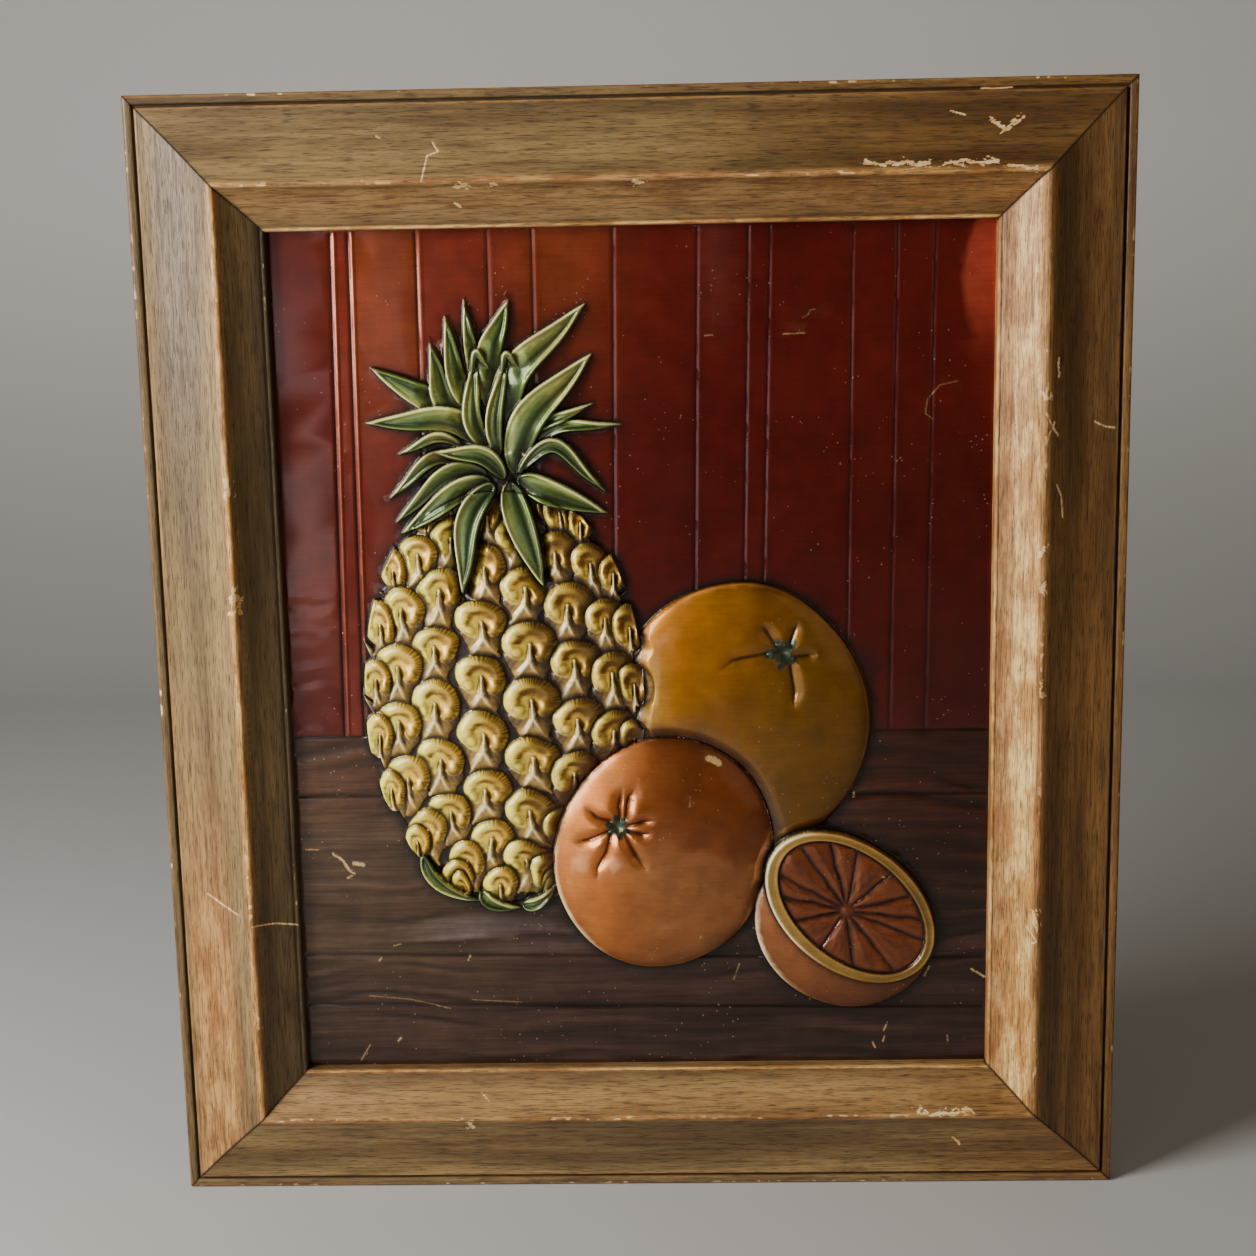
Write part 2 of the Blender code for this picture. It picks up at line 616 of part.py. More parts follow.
def cell_points():
    """Corners of square cells, split in four wherever the relief bends inside one."""
    columns = int(2 * HALF_SIGHT[0] // CELL)
    rows = int(2 * HALF_SIGHT[1] // CELL)
    x, z = np.meshgrid(
        -HALF_SIGHT[0] + (np.arange(columns) + 0.5) * 2 * HALF_SIGHT[0] / columns,
        -HALF_SIGHT[1] + (np.arange(rows) + 0.5) * 2 * HALF_SIGHT[1] / rows,
    )
    centres = np.column_stack([x.ravel(), z.ravel()])
    kept = []
    size = CELL
    lattice = (np.arange(5) - 2) / 4
    across, up = (grid.ravel() for grid in np.meshgrid(lattice, lattice))
    for split in range(CELL_SPLITS + 1):
        sample_x = centres[:, :1] + across * size
        sample_z = centres[:, 1:] + up * size
        height = relief_height(sample_x.ravel(), sample_z.ravel(), False).reshape(len(centres), -1)
        corners = height[:, [0, 4, 20, 24]]
        flat = (
            corners[:, :1] * (0.5 - across) * (0.5 - up)
            + corners[:, 1:2] * (0.5 + across) * (0.5 - up)
            + corners[:, 2:3] * (0.5 - across) * (0.5 + up)
            + corners[:, 3:] * (0.5 + across) * (0.5 + up)
        )
        bent = np.abs(height - flat).max(axis=1) > CELL_TOLERANCE
        bent &= split < CELL_SPLITS
        kept.append(centres[~bent])
        size /= 2
        parts = [centres[bent] + np.array(side) * size / 2 for side in ((-1, -1), (1, -1), (-1, 1), (1, 1))]
        centres = np.concatenate(parts)
    return np.concatenate(kept)


def far_from(points, others, distance):
    """The points that keep this distance from all the others."""
    keep = np.ones(len(points), bool)
    for start in range(0, len(points), 500):
        block = points[start : start + 500]
        away = np.linalg.norm(block[:, None] - others[None], axis=2).min(axis=1)
        keep[start : start + 500] = away > distance
    return points[keep]


def back_grid():
    """The sheet's back as a coarse grid of heights that follows the front from behind."""
    columns = round(2 * HALF_SHEET[0] / BACK_CELL)
    rows = round(2 * HALF_SHEET[1] / BACK_CELL)
    grid_x = np.linspace(-HALF_SHEET[0], HALF_SHEET[0], columns + 1)
    grid_z = np.linspace(-HALF_SHEET[1], HALF_SHEET[1], rows + 1)
    fine = 12
    x = np.linspace(-HALF_SHEET[0], HALF_SHEET[0], columns * fine + 1)
    z = np.linspace(-HALF_SHEET[1], HALF_SHEET[1], rows * fine + 1)
    fine_x, fine_z = np.meshgrid(x, z)
    front = relief_height(fine_x.ravel(), fine_z.ravel()).reshape(fine_x.shape)
    height = np.full((rows + 1, columns + 1), -SHEET_THICKNESS)
    for row in range(1, rows):
        for column in range(1, columns):
            near = front[
                (row - 1) * fine : (row + 1) * fine + 1,
                (column - 1) * fine : (column + 1) * fine + 1,
            ]
            height[row, column] = max(near.min() - SHEET_THICKNESS, -SHEET_THICKNESS)
    return grid_x, grid_z, height


def sheet_mesh():
    """The sheet's vertices and faces: a faceted front, the coarse back and the thin wall round them."""
    facets = Facets()
    outline_facets(facets)
    fruit_facets(facets)
    ground_facets(facets)
    lines = np.array(facets.points)
    grid_x, grid_z, back = back_grid()
    border = (
        [(x, grid_z[0]) for x in grid_x[:-1]]
        + [(grid_x[-1], z) for z in grid_z[:-1]]
        + [(x, grid_z[-1]) for x in grid_x[:0:-1]]
        + [(grid_x[0], z) for z in grid_z[:0:-1]]
    )
    points = np.concatenate([lines, far_from(cell_points(), lines, LEAST_STEP), np.array(border)])
    edges = facets.edges
    coords, _, faces, *_ = delaunay_2d_cdt([Vector(p) for p in points], edges, [], 0, 1e-6, False)
    flat = np.array([(p.x, p.y) for p in coords])
    height = relief_height(flat[:, 0], flat[:, 1])
    front = [sheet_point(x, z, h) for (x, z), h in zip(flat, height)]
    rear = [sheet_point(x, z, h) for z, row in zip(grid_z, back) for x, h in zip(grid_x, row)]
    width = len(grid_x)
    first = len(front)
    faces = [tuple(face) for face in faces]
    for row in range(len(grid_z) - 1):
        for column in range(width - 1):
            low = first + row * width + column
            faces.append((low, low + width, low + 1))
            faces.append((low + 1, low + width, low + width + 1))
    spots = np.array(border)
    front_at = [int(np.hypot(*(flat - spot).T).argmin()) for spot in spots]
    rear_at = [
        first + int(np.abs(grid_z - z).argmin()) * width + int(np.abs(grid_x - x).argmin()) for x, z in spots
    ]
    for start in range(len(spots)):
        end = (start + 1) % len(spots)
        faces.append((front_at[end], front_at[start], rear_at[start], rear_at[end]))
    return front + rear, faces


def sheet_point(x, z, height):
    """A place on the picture and a height, as a point of the part."""
    return (x, BACK_Y - GROUND_DEPTH - height, PICTURE_Z + z)


def surface(name, colour, roughness, metallic):
    """A material with one colour."""
    material = bpy.data.materials.new(name)
    material.use_nodes = True
    shader = material.node_tree.nodes["Principled BSDF"]
    shader.inputs["Base Color"].default_value = (*colour, 1)
    shader.inputs["Roughness"].default_value = roughness
    shader.inputs["Metallic"].default_value = metallic
    return material


def add_object(name, vertices, faces, material, smooth_under=None):
    """A mesh object with its faces turned outward."""
    mesh = bpy.data.meshes.new(name)
    mesh.from_pydata(vertices, [], faces)
    work = bmesh.new()
    work.from_mesh(mesh)
    bmesh.ops.recalc_face_normals(work, faces=work.faces)
    work.to_mesh(mesh)
    work.free()
    mesh.materials.append(material)
    if smooth_under is not None:
        mesh.shade_smooth()
        mesh.set_sharp_from_angle(angle=math.radians(smooth_under))
    item = bpy.data.objects.new(name, mesh)
    bpy.context.collection.objects.link(item)
    return item


def rail(name, half_length, half_across, place, material):
    """A mitred rail. place turns (along, outward distance from the picture's centre) into x and z."""
    profile = rail_profile()
    shorten = MITRE_GAP / 2 * math.sqrt(2)
    vertices = []
    for side in (-1, 1):
        for inward, forward in profile:
            x, z = place(side * (half_length - inward - shorten), half_across - inward)
            vertices.append((x, BACK_Y - forward, PICTURE_Z + z))
    count = len(profile)
    faces = [tuple(range(count)), tuple(range(count, 2 * count))]
    for index in range(count):
        after = (index + 1) % count
        faces.append((index, after, count + after, count + index))
    return add_object(name, vertices, faces, material, smooth_under=28)


def make_frame(material):
    """The four rails. Gives back the top one, which carries the hanger."""
    half_width = FRAME_WIDTH / 2
    half_height = FRAME_HEIGHT / 2
    rail("frame_bottom_rail", half_width, half_height, lambda along, out: (along, -out), material)
    rail("frame_left_rail", half_height, half_width, lambda along, out: (-out, along), material)
    rail("frame_right_rail", half_height, half_width, lambda along, out: (out, along), material)
    return rail("frame_top_rail", half_width, half_height, lambda along, out: (along, out), material)


def make_board(material):
    """The flat board that closes the back."""
    front = BACK_Y - GROUND_DEPTH + SHEET_THICKNESS + GAP
    x, z = HALF_SHEET
    outline = [(-x, -z), (x, -z), (x, z), (-x, z)]
    vertices = [(px, y, PICTURE_Z + pz) for y in (front, front + BOARD_THICKNESS) for px, pz in outline]
    sides = [(i, (i + 1) % 4, 4 + (i + 1) % 4, 4 + i) for i in range(4)]
    add_object("backing_board", vertices, [(0, 1, 2, 3), (4, 5, 6, 7)] + sides, material)


def make_hanger(material):
    """A toothed strip whose ends lie on the rail and whose middle is raised for the wall nail's head."""
    teeth = 7
    tooth = 0.0036
    tooth_depth = 0.0018
    half = HANGER_LENGTH / 2
    bend_out = 0.0170
    bend_in = 0.0145
    columns = [(-half, 0, 0), (-bend_out, 0, 0), (-bend_in, 1, 0)]
    for index in range(teeth):
        left = (index - teeth / 2) * tooth
        columns.append((left, 1, 0))
        columns.append((left + tooth / 2, 1, 1))
    columns.append((teeth / 2 * tooth, 1, 0))
    columns += [(bend_in, 1, 0), (bend_out, 0, 0), (half, 0, 0)]
    vertices = []
    for x, raised, notch in columns:
        rear = -HANGER_RISE * (1 - raised)
        low = -HANGER_HEIGHT / 2 + tooth_depth * notch
        for y in (rear, rear - HANGER_THICKNESS):
            vertices += [(x, y, low), (x, y, HANGER_HEIGHT / 2)]
    faces = [(0, 1, 3, 2)]
    for index in range(len(columns) - 1):
        a = 4 * index
        b = a + 4
        faces += [(a, a + 1, b + 1, b), (a + 3, a + 2, b + 2, b + 3)]
        faces += [(a + 1, a + 3, b + 3, b + 1), (a + 2, a, b, b + 2)]
    last = 4 * (len(columns) - 1)
    faces.append((last, last + 1, last + 3, last + 2))
    return add_object("hanger_plate", vertices, faces, material)


def turned(name, x, rings, material):
    """A round piece about a line along Y at this x, from its (y, radius) rings."""
    sides = 12
    vertices = []
    for y, radius in rings:
        for step in range(sides):
            angle = 2 * math.pi * step / sides
            vertices.append((x + radius * math.cos(angle), y, radius * math.sin(angle)))
    faces = [tuple(range(sides)), tuple(range(len(vertices) - sides, len(vertices)))]
    for ring in range(len(rings) - 1):
        for step in range(sides):
            after = (step + 1) % sides
            low = ring * sides
            faces.append((low + step, low + after, low + sides + after, low + sides + step))
    return add_object(name, vertices, faces, material, smooth_under=40)


def make_nails(hanger, top_rail, material):
    """A nail at each end of the hanger, in a hole through the hanger and into the rail."""
    at = HANGER_LENGTH / 2 - 0.003
    shank = 0.0007
    head = 0.0018
    head_thickness = 0.0007
    length = 0.012
    plate_rear = -HANGER_RISE
    under_head = plate_rear + GAP
    for side, where in ((-1, "left"), (1, "right")):
        x = side * at
        tip = BACK_Y - length
        rings = [
            (tip, 0.0002),
            (tip + 0.0015, shank),
            (under_head, shank),
            (under_head, head),
            (under_head + head_thickness, head * 0.8),
        ]
        turned(f"hanger_nail_{where}", x, rings, material)
        hole = [(tip - 0.0005, shank + GAP), (plate_rear + 0.001, shank + GAP)]
        cutter = turned(f"nail_hole_{where}", x, hole, material)
        cutter.hide_render = True
        cutter.display_type = "WIRE"
        for item in (hanger, top_rail):
            cut = item.modifiers.new(f"{where} nail hole", "BOOLEAN")
            cut.operation = "DIFFERENCE"
            cut.object = cutter


def make_sheet(material):
    vertices, faces = sheet_mesh()
    add_object("copper_relief", vertices, faces, material, smooth_under=24)


for old in list(bpy.data.objects):
    bpy.data.objects.remove(old)

wood = surface("stained wood", (0.30, 0.19, 0.09), 0.45, 0.0)
copper = surface("lacquered copper", (0.42, 0.13, 0.05), 0.30, 0.9)
hardboard = surface("hardboard", (0.24, 0.15, 0.09), 0.80, 0.0)
steel = surface("zinc plated steel", (0.55, 0.55, 0.55), 0.35, 1.0)

frame_top = make_frame(wood)
make_board(hardboard)
plate = make_hanger(steel)
make_nails(plate, frame_top, steel)
make_sheet(copper)
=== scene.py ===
"""The looks of a framed copper panel: a lacquered relief of fruit in a worn wooden frame.

Metres, +Z up, the picture faces -Y. A place on the picture is (x, z) from the picture's centre, and a
height on it is how far the sheet stands forward of its flat ground. A place on a rail is (along, inward).
"""

import math

import bpy
import numpy as np
from mathutils import Matrix, Vector
from mathutils.geometry import delaunay_2d_cdt


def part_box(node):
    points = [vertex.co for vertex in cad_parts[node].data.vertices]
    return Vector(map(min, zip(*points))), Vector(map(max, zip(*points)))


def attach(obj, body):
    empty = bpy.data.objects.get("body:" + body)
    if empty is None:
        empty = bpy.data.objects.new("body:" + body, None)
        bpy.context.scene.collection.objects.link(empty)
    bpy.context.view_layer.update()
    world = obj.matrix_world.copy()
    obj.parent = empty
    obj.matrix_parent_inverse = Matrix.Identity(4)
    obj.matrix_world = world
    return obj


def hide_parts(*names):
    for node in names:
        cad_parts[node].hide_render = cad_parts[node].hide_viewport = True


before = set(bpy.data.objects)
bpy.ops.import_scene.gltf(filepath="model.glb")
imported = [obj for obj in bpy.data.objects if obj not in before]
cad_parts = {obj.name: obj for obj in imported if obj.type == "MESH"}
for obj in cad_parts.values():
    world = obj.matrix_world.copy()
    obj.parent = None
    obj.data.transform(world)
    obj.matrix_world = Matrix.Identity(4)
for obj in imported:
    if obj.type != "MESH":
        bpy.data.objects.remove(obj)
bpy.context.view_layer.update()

# The frame and the sheet, as the solids have them
FRAME_WIDTH = 0.558
FRAME_HEIGHT = 0.6465
RAIL_WIDTH = 0.0756
RAIL_DEPTH = 0.032
LIP_DEPTH = 0.016
REBATE_WIDTH = 0.0056
REBATE_DEPTH = 0.009
GAP = 0.0003
MITRE_GAP = 0.0003
SHEET_THICKNESS = 0.0014
BACK_Y = -0.0027
FRAME_TOP = 0.035
PICTURE_Z = FRAME_TOP - FRAME_HEIGHT / 2
MITRE_CUT = MITRE_GAP / 2 * math.sqrt(2)
RIDGE_INWARD = 0.0497
GROUND_DEPTH = REBATE_DEPTH - GAP
HALF_SIGHT = (FRAME_WIDTH / 2 - RAIL_WIDTH, FRAME_HEIGHT / 2 - RAIL_WIDTH)
HALF_SHEET = (HALF_SIGHT[0] + REBATE_WIDTH - GAP, HALF_SIGHT[1] + REBATE_WIDTH - GAP)

# The embossing
EDGE = 0.0014
VALLEY = 0.008
TABLE_EDGE = -0.043
WALL_JOINT_WIDTH = 0.0045
LEDGE_EASE = 0.002
WALL_JOINTS = (
    (-0.167, -0.1715),
    (-0.157, -0.160),
    (-0.119, -0.1205),
    (-0.079, -0.080),
    (-0.054, -0.055),
    (-0.0085, -0.013),
    (0.0385, 0.033),
    (0.067, 0.061),
    (0.079, 0.072),
    (0.125, 0.1215),
    (0.150, 0.1465),
    (0.171, 0.167),
)
TABLE_JOINTS = ((-0.0795, -0.082), (-0.1775, -0.183), (-0.209, -0.214))

# The pineapple's body and its lattice of fruitlets
BODY_CENTRE = (-0.078, -0.027)
BODY_HALF_WIDTH = 0.079
BODY_UP = 0.127
BODY_DOWN = 0.121
BODY_DOME = 0.0088
COLUMN_TURN = 21.0
ROW_CENTRE = -0.0248
ROW_RADIUS = 0.1874
ROW_TURN = 10.3
SMILE_ROWS = 0.85
SMILE_TURN = -12.0
FRUITLET_HALF_WIDTH = 0.016
FRUITLET_HALF_HEIGHT = 0.015
FRUITLET_RISE = 0.0052

# The crown's leaves, back ones first: base, middle, tip and width
LEAF_RISE = 0.0052
LEAF_RIM = 0.0014
LEAVES = (
    ((-0.062, 0.118), (-0.035, 0.137), (-0.007, 0.137), 0.0075),
    ((-0.066, 0.113), (-0.050, 0.139), (-0.023, 0.149), 0.0085),
    ((-0.085, 0.128), (-0.118, 0.154), (-0.148, 0.171), 0.016),
    ((-0.086, 0.130), (-0.109, 0.158), (-0.114, 0.184), 0.013),
    ((-0.088, 0.140), (-0.101, 0.172), (-0.105, 0.199), 0.011),
    ((-0.090, 0.160), (-0.0915, 0.186), (-0.094, 0.208), 0.0075),
    ((-0.080, 0.145), (-0.079, 0.184), (-0.069, 0.208), 0.015),
    ((-0.070, 0.125), (-0.059, 0.176), (-0.026, 0.205), 0.018),
    ((-0.068, 0.110), (-0.052, 0.150), (-0.023, 0.177), 0.019),
    ((-0.085, 0.125), (-0.115, 0.142), (-0.152, 0.140), 0.015),
    ((-0.098, 0.126), (-0.117, 0.130), (-0.134, 0.122), 0.0065),
    ((-0.090, 0.116), (-0.121, 0.115), (-0.140, 0.097), 0.0085),
    ((-0.084, 0.110), (-0.114, 0.105), (-0.137, 0.083), 0.0105),
    ((-0.066, 0.110), (-0.038, 0.1215), (-0.017, 0.099), 0.0085),
    ((-0.066, 0.107), (-0.043, 0.097), (-0.016, 0.0865), 0.015),
    ((-0.082, 0.105), (-0.109, 0.095), (-0.134, 0.0765), 0.0135),
    ((-0.082, 0.124), (-0.0915, 0.150), (-0.0895, 0.177), 0.011),
    ((-0.077, 0.120), (-0.0775, 0.150), (-0.071, 0.176), 0.010),
    ((-0.0905, 0.167), (-0.0865, 0.178), (-0.0815, 0.170), 0.0036),
    ((-0.0735, 0.167), (-0.0695, 0.177), (-0.0645, 0.170), 0.0036),
    ((-0.074, 0.107), (-0.092, 0.122), (-0.113, 0.123), 0.011),
    ((-0.080, 0.104), (-0.097, 0.075), (-0.0995, 0.042), 0.0145),
    ((-0.072, 0.105), (-0.063, 0.075), (-0.053, 0.046), 0.0165),
)
BASE_LEAVES = (
    ((-0.129, -0.116), (-0.119, -0.134), (-0.094, -0.145), 0.008),
    ((-0.095, -0.138), (-0.088, -0.146), (-0.072, -0.149), 0.008),
    ((-0.071, -0.146), (-0.061, -0.145), (-0.050, -0.134), 0.008),
)
# Small spines that stand out past the body's outline: root and tip
SPINES = (
    ((-0.150, 0.000), (-0.1585, 0.0135)),
    ((-0.153, -0.028), (-0.1605, -0.0185)),
    ((-0.138, 0.034), (-0.1480, 0.0420)),
    ((-0.016, 0.032), (-0.0065, 0.0405)),
    ((-0.008, 0.000), (0.0020, 0.0075)),
    ((-0.010, -0.034), (0.0005, -0.0275)),
    ((-0.128, -0.110), (-0.1355, -0.1065)),
)

# The citrus fruit
GRAPEFRUIT_DOME = 0.0095
ORANGE_DOME = 0.0125
HALF_ORANGE_DOME = 0.0085
GRAPEFRUIT_STEM = (0.0832, 0.0042)
GRAPEFRUIT_FOLDS = (
    ((0.0740, 0.0042), (0.0550, 0.0008), (0.0442, -0.0067)),
    ((0.0790, 0.0095), (0.0708, 0.0230)),
    ((0.0880, 0.0100), (0.0930, 0.0242)),
    ((0.0910, 0.0020), (0.1047, 0.0028)),
    ((0.0880, -0.0030), (0.0903, -0.0183), (0.0883, -0.0342)),
)
ORANGE_STEM = (-0.0135, -0.0975)
ORANGE_FOLDS = (
    ((-0.0180, -0.0940), (-0.0258, -0.0917), (-0.0335, -0.0850)),
    ((-0.0120, -0.0930), (-0.0125, -0.0850), (-0.0100, -0.0725)),
    ((-0.0088, -0.0920), (-0.0067, -0.0800), (-0.0020, -0.0725)),
    ((-0.0075, -0.0965), (0.0017, -0.0942), (0.0095, -0.0930)),
    ((-0.0075, -0.1000), (0.0008, -0.1017), (0.0075, -0.1000)),
    ((-0.0095, -0.1020), (-0.0025, -0.1158), (0.0050, -0.1240)),
    ((-0.0175, -0.1020), (-0.0208, -0.1133), (-0.0258, -0.1225), (-0.0258, -0.1310)),
    ((-0.0190, -0.1000), (-0.0300, -0.1053), (-0.0415, -0.1078)),
)
# The ends of the walls between the half orange's segments, and their common core
SEGMENT_CORE = (0.1205, -0.1515)
SEGMENT_ENDS = (
    (0.094, -0.113),
    (0.111, -0.109),
    (0.127, -0.116),
    (0.146, -0.130),
    (0.160, -0.143),
    (0.167, -0.158),
    (0.168, -0.172),
    (0.148, -0.190),
    (0.124, -0.188),
    (0.104, -0.175),
    (0.086, -0.158),
    (0.079, -0.141),
    (0.080, -0.128),
)
CUT_TILT = 0.03
SEGMENT_DEPTH = 0.0018

# The grid that the relief is worked out on, and how closely its mesh follows it
GRID_CELL = 64
GRID_CELLS = (16, 20)
HEIGHT_TOLERANCE = 0.00003
COLOUR_TOLERANCE = 0.06
HEIGHT_WEIGHT = 3.0
TONE_WEIGHT = 0.0020
FRONT_FACES = 192000
BACK_CELL = 0.021

# The same for a rail's front
RAIL_CELL = 32
RAIL_CELLS = (28, 5)
INWARD_TOLERANCE = 0.0001
WEAR_TOLERANCE = 0.12
MITRE_TOLERANCE = 0.25

# The table that smooth noise is read from, and a shift that keeps places on it positive
NOISE_TABLE = (61, 67)
NOISE_SHIFT = 5000.5


def linear(red, green, blue):
    """A colour given as 0 to 255 screen values, as linear values."""
    share = np.array([red, green, blue]) / 255
    return np.where(share <= 0.04045, share / 12.92, ((share + 0.055) / 1.055) ** 2.4)


# Lacquer colours
WALL_RED = linear(123, 42, 23)
WALL_DARK = linear(98, 17, 5)
WALL_ORANGE = linear(134, 62, 28)
# WALL_BEAD is partly a painted highlight on the joints' beads; WALL_SHEEN and WALL_GLEAM are painted
# reflections
WALL_BEAD = linear(184, 92, 62)
WALL_SHEEN = linear(172, 100, 84)
WALL_GLEAM = linear(206, 84, 60)
TABLE_BROWN = linear(90, 70, 50)
TABLE_DARK = linear(62, 38, 32)
TABLE_RED = linear(78, 36, 16)
# A painted reflection on the table
TABLE_SHEEN = linear(206, 194, 206)
SHADE = linear(26, 19, 17)
HAZE = linear(104, 78, 62)
# On the fruitlets YELLOW also stands for painted light, and UMBER, OLIVE, MAUVE and GAP_GREY also for painted
# shade
YELLOW = linear(255, 238, 92)
GOLD = linear(248, 200, 66)
UMBER = linear(116, 72, 20)
OLIVE = linear(122, 90, 24)
TAN = linear(198, 160, 84)
MAUVE = linear(88, 68, 52)
GAP_GREY = linear(52, 38, 36)
# SPINE_CREAM is also a painted highlight on the lit left edges of the spines' legs and of the fruit
SPINE_CREAM = linear(244, 228, 178)
# LEAF_LIGHT stands for painted light on a leaf's lit side, and LEAF_DARK for painted shade
LEAF_LIGHT = linear(168, 178, 92)
LEAF_GREEN = linear(98, 122, 56)
LEAF_DARK = linear(28, 42, 20)
LEAF_YELLOW = linear(190, 176, 96)
LEAF_GREY = linear(112, 132, 102)
LEAF_PALE = linear(214, 212, 150)
GRAPE_GOLD = linear(186, 116, 10)
GRAPE_OLIVE = linear(118, 79, 8)
ORANGE_LIGHT = linear(212, 128, 56)
ORANGE_DEEP = linear(134, 66, 16)
ORANGE_DARK = linear(112, 58, 16)
ORANGE_BROWN = linear(166, 112, 64)
# Painted highlights on the orange
ORANGE_GLINT = linear(238, 176, 134)
RIND_LIGHT = linear(160, 96, 52)
RIND_DARK = linear(112, 64, 36)
PEEL = linear(172, 134, 62)
FLESH_ORANGE = linear(126, 66, 32)
FLESH_DARK = linear(64, 26, 16)
STEM_GREEN = linear(44, 54, 36)
SCRATCH_GOLD = linear(214, 182, 122)


class Oval:
    """A rounded outline: its centre, two half sizes, a turn in degrees, and a power of 2 for an ellipse."""

    def __init__(self, centre, halves, turn=0.0, power=2.0):
        self.centre = centre
        self.halves = halves
        self.turn = math.radians(turn)
        self.power = power

    def local(self, x, z, centre=None):
        """A place in the oval's own half sizes, from its centre or from another point."""
        centre = centre or self.centre
        along = (x - centre[0]) * math.cos(self.turn) + (z - centre[1]) * math.sin(self.turn)
        up = (z - centre[1]) * math.cos(self.turn) - (x - centre[0]) * math.sin(self.turn)
        return along / self.halves[0], up / self.halves[1]

    def spot(self, x, z):
        """The distance inside the outline and the radius as a share of the outline's."""
        along, up = self.local(x, z)
        return inside_oval(along, up, self.halves[0], self.halves[1], self.power)


GRAPEFRUIT = Oval((0.0575, -0.0375), (0.0765, 0.083), -3, 1.88)
ORANGE = Oval((0.0127, -0.116), (0.0639, 0.0715), -20)
HALF_ORANGE = Oval((0.1195, -0.1615), (0.0550, 0.0500), -35)
CUT_FACE = Oval((0.1225, -0.1494), (0.0570, 0.0380), -40)
FLESH = Oval((0.1234, -0.1494), (0.0515, 0.0318), -42)


def ease(low, high, value):
    """0 below low and 1 above high, with a smooth rise between."""
    share = np.clip((value - low) / (high - low), 0, 1)
    return share * share * (3 - 2 * share)


def bump(middle, width, value):
    """A smooth bell of height 1."""
    return np.exp(-(((value - middle) / width) ** 2))


def mix(low, high, share):
    """A blend of two colours or grids of colours, by a share or a grid of shares."""
    return low + (high - low) * np.asarray(share)[..., None]


def inside_oval(along, up, half_along, half_up, power):
    """The distance inside a rounded outline and the radius share, at a place given in half sizes."""
    a = np.abs(along) + 1e-9
    b = np.abs(up) + 1e-9
    share = (a**power + b**power) ** (1 / power)
    slope = np.hypot(a ** (power - 1) / half_along, b ** (power - 1) / half_up) * share ** (1 - power)
    return (1 - share) / slope, share


def noise(x, z, cell_x, cell_z, seed):
    """Smooth noise from -1 to 1 whose cells have these sizes."""
    table = np.random.default_rng(seed).uniform(-1, 1, NOISE_TABLE)
    rows, columns = NOISE_TABLE
    u = x / cell_x + NOISE_SHIFT
    v = z / cell_z + NOISE_SHIFT
    column = np.floor(u).astype(int)
    row = np.floor(v).astype(int)
    share_u = ease(0, 1, u - column)
    share_v = ease(0, 1, v - row)
    levels = []
    for level in (row % rows, (row + 1) % rows):
        left = table[level, column % columns]
        right = table[level, (column + 1) % columns]
        levels.append(left * (1 - share_u) + right * share_u)
    return levels[0] * (1 - share_v) + levels[1] * share_v


def line_noise(along, cell, seed):
    """Smooth noise from -1 to 1 that changes only along a line."""
    return noise(along, np.zeros(along.shape), cell, 1, seed)


def blur(field, radius, step):
    """A field smoothed by a bell of this radius."""
    waves = np.fft.rfft2(field)
    down = np.fft.fftfreq(field.shape[0], step)[:, None]
    across = np.fft.rfftfreq(field.shape[1], step)[None]
    waves *= np.exp(-2 * (math.pi * radius) ** 2 * (down**2 + across**2))
    return np.fft.irfft2(waves, field.shape)


def nearest_run(x, z, points):
    """The distance to a line through points, and the nearest run's number, share passed and side."""
    nearest = np.full(x.shape, np.inf)
    number = np.zeros(x.shape, int)
    passed = np.zeros(x.shape)
    side = np.zeros(x.shape)
    for index, start in enumerate(points[:-1]):
        run = points[index + 1] - start
        along = np.clip(((x - start[0]) * run[0] + (z - start[1]) * run[1]) / (run @ run), 0, 1)
        away = np.hypot(x - start[0] - along * run[0], z - start[1] - along * run[1])
        turn = run[0] * (z - start[1]) - run[1] * (x - start[0])
        closer = away < nearest
        nearest = np.where(closer, away, nearest)
        number = np.where(closer, index, number)
        passed = np.where(closer, along, passed)
        side = np.where(closer, np.sign(turn), side)
    return nearest, number, passed, side


def near_line(x, z, points):
    """The distance to a line through points, and how far along it the nearest place is, as a share."""
    points = np.array(points)
    runs = np.linalg.norm(np.diff(points, axis=0), axis=1)
    before = np.concatenate([[0], np.cumsum(runs)])
    nearest, number, passed, _ = nearest_run(x, z, points)
    return nearest, (before[number] + passed * runs[number]) / before[-1]


